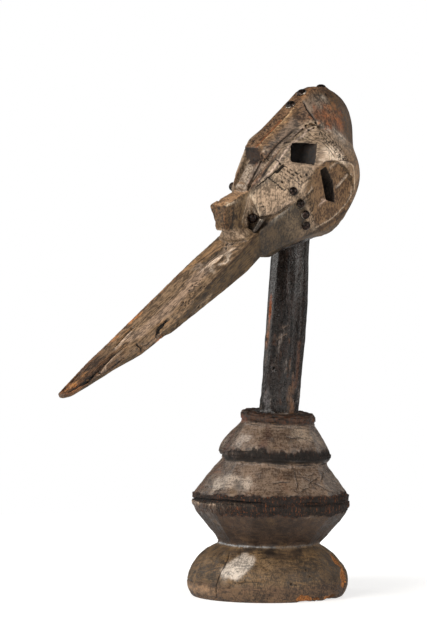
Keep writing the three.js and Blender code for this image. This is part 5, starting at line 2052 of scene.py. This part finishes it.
@dataclass
class DomedStud:
    """A domed metal stud with a rubbed rim, hammered a little out of round."""

    node: str
    seed: int
    sides: int = 40
    dents: float = 0.22

    def profile(self, seat: Seat) -> list[Spot]:
        """Draws the stud's outline.

        Args:
            seat: Where it sits.

        Returns:
            Radius and height from the shank's end up to the dome's top.
        """
        height = seat.high - seat.low
        shank = 9.0 / (9.0 + 4.5) * height
        base = seat.low + shank
        dome = seat.high - base
        outline = [(0.0, seat.low), (1.1, seat.low), (1.4, seat.low + 0.6), (1.4, base)]
        outline += [(seat.radius * 0.9, base), (seat.radius * 0.985, base + 0.15), (seat.radius, base + 0.55)]
        outline += [(seat.radius * 0.985, base + 0.95), (seat.radius * 0.93, base + 1.1)]
        steps = 9
        for step in range(steps):
            angle = math.radians(12 + 78 * step / steps)
            outline.append((seat.radius * 0.93 * math.cos(angle), base + 0.9 + (dome - 0.9) * math.sin(angle)))
        outline.append((0.0, seat.high))
        return outline

    def worn(self, points: np.ndarray, seat: Seat) -> np.ndarray:
        """Tells how bright each place is rubbed.

        Args:
            points: The stud's places, upright.
            seat: Where it sits.

        Returns:
            0 where it is dark, 1 where it is bright.
        """
        away = np.hypot(points[:, 0], points[:, 1])
        rim = inside(away, seat.radius * 0.93, seat.radius * 1.02, 0.3) * ease(points[:, 2], seat.high, seat.low + 9.0)
        return np.clip(rim * (0.35 + 1.5 * value_noise(points, 7.0, self.seed + 3)), 0.0, 1.0)

    def build(self, finish: bpy.types.Material) -> bpy.types.Object:
        """Makes the stud.

        Args:
            finish: Its material.

        Returns:
            The object.
        """
        seat = Seat.of(self.node)
        points, faces = lathe(self.profile(seat), self.sides)
        away = np.hypot(points[:, 0], points[:, 1])
        dent = layered_noise(points, 3.4, self.seed) * self.dents * ease(away, 0.0, 1.5)
        points[:, :2] *= (1.0 - (np.abs(dent) / seat.radius))[:, None]
        points[:, 2] -= np.abs(layered_noise(points, 2.6, self.seed + 9)) * self.dents * ease(points[:, 2], seat.low + 9, seat.high)
        worn = self.worn(points, seat)
        mesh = bpy.data.meshes.new(self.node + "_fine")
        mesh.from_pydata([Vector(p) * MM for p in points], [], faces)
        mesh.transform(Matrix.Scale(MM, 4) @ seat.turn() @ Matrix.Scale(1 / MM, 4))
        layer = mesh.attributes.new(Mark.WEAR.value, "FLOAT", "POINT")
        layer.data.foreach_set("value", worn.astype(np.float32))
        mesh.polygons.foreach_set("use_smooth", [True] * len(mesh.polygons))
        mesh.materials.append(finish)
        piece = add_object(self.node + "_fine", mesh)
        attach(piece, BODY)
        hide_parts(self.node)
        return piece


@dataclass
class EyePeg(DomedStud):
    """A short round peg with a worn end."""

    sides: int = 32
    dents: float = 0.16

    def profile(self, seat: Seat) -> list[Spot]:
        """Draws the peg's outline.

        Args:
            seat: Where it sits.

        Returns:
            Radius and height from its foot up to its end.
        """
        radius = seat.radius
        outline = [(0.0, seat.low), (radius * 0.8, seat.low), (radius, seat.low + 0.7)]
        steps = 10
        for step in range(1, steps):
            share = step / steps
            outline.append((radius * (1.0 - 0.05 * math.sin(3.1 * share)), seat.low + (seat.high - seat.low) * share * 0.92))
        outline += [(radius * 0.97, seat.high - 1.2), (radius * 0.86, seat.high - 0.4), (radius * 0.55, seat.high - 0.1)]
        outline.append((0.0, seat.high))
        return outline

    def worn(self, points: np.ndarray, seat: Seat) -> np.ndarray:
        """Tells how bright each place is rubbed: only the edge of its end is."""
        away = np.hypot(points[:, 0], points[:, 1])
        return 0.1 + 0.5 * inside(away, seat.radius * 0.8, seat.radius, 0.4) * ease(points[:, 2], seat.high - 1.6, seat.high - 0.6)


@dataclass
class Studio:
    """The pale floor, the lights and the camera."""

    azimuth_deg: float = 42.0
    distance: float = 2.8
    sideways: float = -0.0631
    height: float = 0.3225
    focal_pixels: float = 2383.0
    photo_height: float = 640.0
    film_mm: float = 36.0
    lamp_colour: Place = (1.0, 0.97, 0.93)

    def axes(self) -> tuple[Vector, Vector, Vector]:
        """Returns the ways towards the camera, to the picture's right, and up."""
        angle = math.radians(self.azimuth_deg)
        back = Vector((math.sin(angle), -math.cos(angle), 0.0))
        right = Vector((math.cos(angle), math.sin(angle), 0.0))
        return back, right, Vector((0.0, 0.0, 1.0))

    def camera(self) -> bpy.types.Object:
        """Places the camera.

        Returns:
            The camera object.
        """
        back, right, up = self.axes()
        data = bpy.data.cameras.new("photo_camera")
        data.sensor_width = self.film_mm
        data.lens = self.focal_pixels / self.photo_height * self.film_mm
        camera = bpy.data.objects.new("photo_camera", data)
        bpy.context.scene.collection.objects.link(camera)
        camera.location = back * self.distance + right * self.sideways + up * self.height
        camera.rotation_euler = (math.radians(90), 0.0, math.radians(self.azimuth_deg))
        bpy.context.scene.camera = camera
        return camera

    def light(self, name: str, spot: Place, size: Spot, power: float) -> None:
        """Hangs a soft light that faces the figure.

        Args:
            name: The light's name.
            spot: Metres towards the camera, to the right and up.
            size: Its width and height in metres.
            power: Its power in watts.
        """
        back, right, up = self.axes()
        data = bpy.data.lights.new(name, "AREA")
        data.shape = "RECTANGLE"
        data.size, data.size_y = size
        data.energy = power
        data.color = self.lamp_colour
        lamp = bpy.data.objects.new(name, data)
        bpy.context.scene.collection.objects.link(lamp)
        lamp.location = back * spot[0] + right * spot[1] + up * spot[2]
        aim = Vector((0.0, 0.0, 0.32)) - lamp.location
        lamp.rotation_euler = aim.to_track_quat("-Z", "Y").to_euler()

    def floor(self) -> bpy.types.Object:
        """Lays the floor.

        Returns:
            The floor object.
        """
        points, faces = lathe([(0.0, -20.0), (1200.0, -20.0), (1200.0, 0.0), (0.0, 0.0)], 96)
        mesh = bpy.data.meshes.new("studio_floor")
        mesh.from_pydata([Vector(p) * MM for p in points], [], faces)
        mesh.materials.append(FloorFinish().build())
        floor = add_object("studio_floor", mesh)
        return floor

    def world(self) -> None:
        """Gives the room its pale light."""
        world = bpy.data.worlds.new("studio_room")
        bpy.context.scene.world = world
        world.use_nodes = True
        nodes, links = world.node_tree.nodes, world.node_tree.links
        nodes.clear()
        seen = nodes.new("ShaderNodeBackground")
        seen.inputs["Color"].default_value = (1.0, 1.0, 1.0, 1.0)
        lit = nodes.new("ShaderNodeBackground")
        lit.inputs["Color"].default_value = (1.0, 0.98, 0.95, 1.0)
        lit.inputs["Strength"].default_value = 0.14
        path = nodes.new("ShaderNodeLightPath")
        pick = nodes.new("ShaderNodeMixShader")
        output = nodes.new("ShaderNodeOutputWorld")
        links.new(path.outputs["Is Camera Ray"], pick.inputs[0])
        links.new(lit.outputs[0], pick.inputs[1])
        links.new(seen.outputs[0], pick.inputs[2])
        links.new(pick.outputs[0], output.inputs["Surface"])

    def build(self) -> None:
        """Sets the whole studio up."""
        self.camera()
        self.floor()
        self.world()
        self.light("left_box", (1.3, -1.25, 1.1), (1.0, 1.3), 44.0)
        self.light("right_box", (1.45, 1.3, 0.9), (0.5, 1.3), 24.0)
        self.light("rear_box", (-0.95, 1.5, 1.0), (0.8, 1.2), 4.0)
        self.light("left_rear", (-0.6, -1.5, 0.9), (0.7, 1.3), 9.0)
        view = bpy.context.scene.view_settings
        view.view_transform = "Standard"
        view.look = "None"


def main() -> None:
    """Builds every piece and reports it."""
    logging.basicConfig(level=logging.INFO, format="%(name)s: %(message)s")
    Studio().build()
    log.info("studio: camera, floor and lights")
    carving = Carving().build()
    log.info("%s: %d faces", carving.name, len(carving.data.polygons))
    iron = OldIronFinish().build()
    studs = sorted(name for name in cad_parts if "stud" in name)
    for number, node in enumerate(studs):
        stud = DomedStud(node, 500 + 20 * number).build(iron)
        log.info("%s: %d faces", stud.name, len(stud.data.polygons))
    for number, node in enumerate(sorted(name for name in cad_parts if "peg" in name)):
        peg = EyePeg(node, 900 + 20 * number).build(iron)
        log.info("%s: %d faces", peg.name, len(peg.data.polygons))


if __name__ == "__main__":
    main()
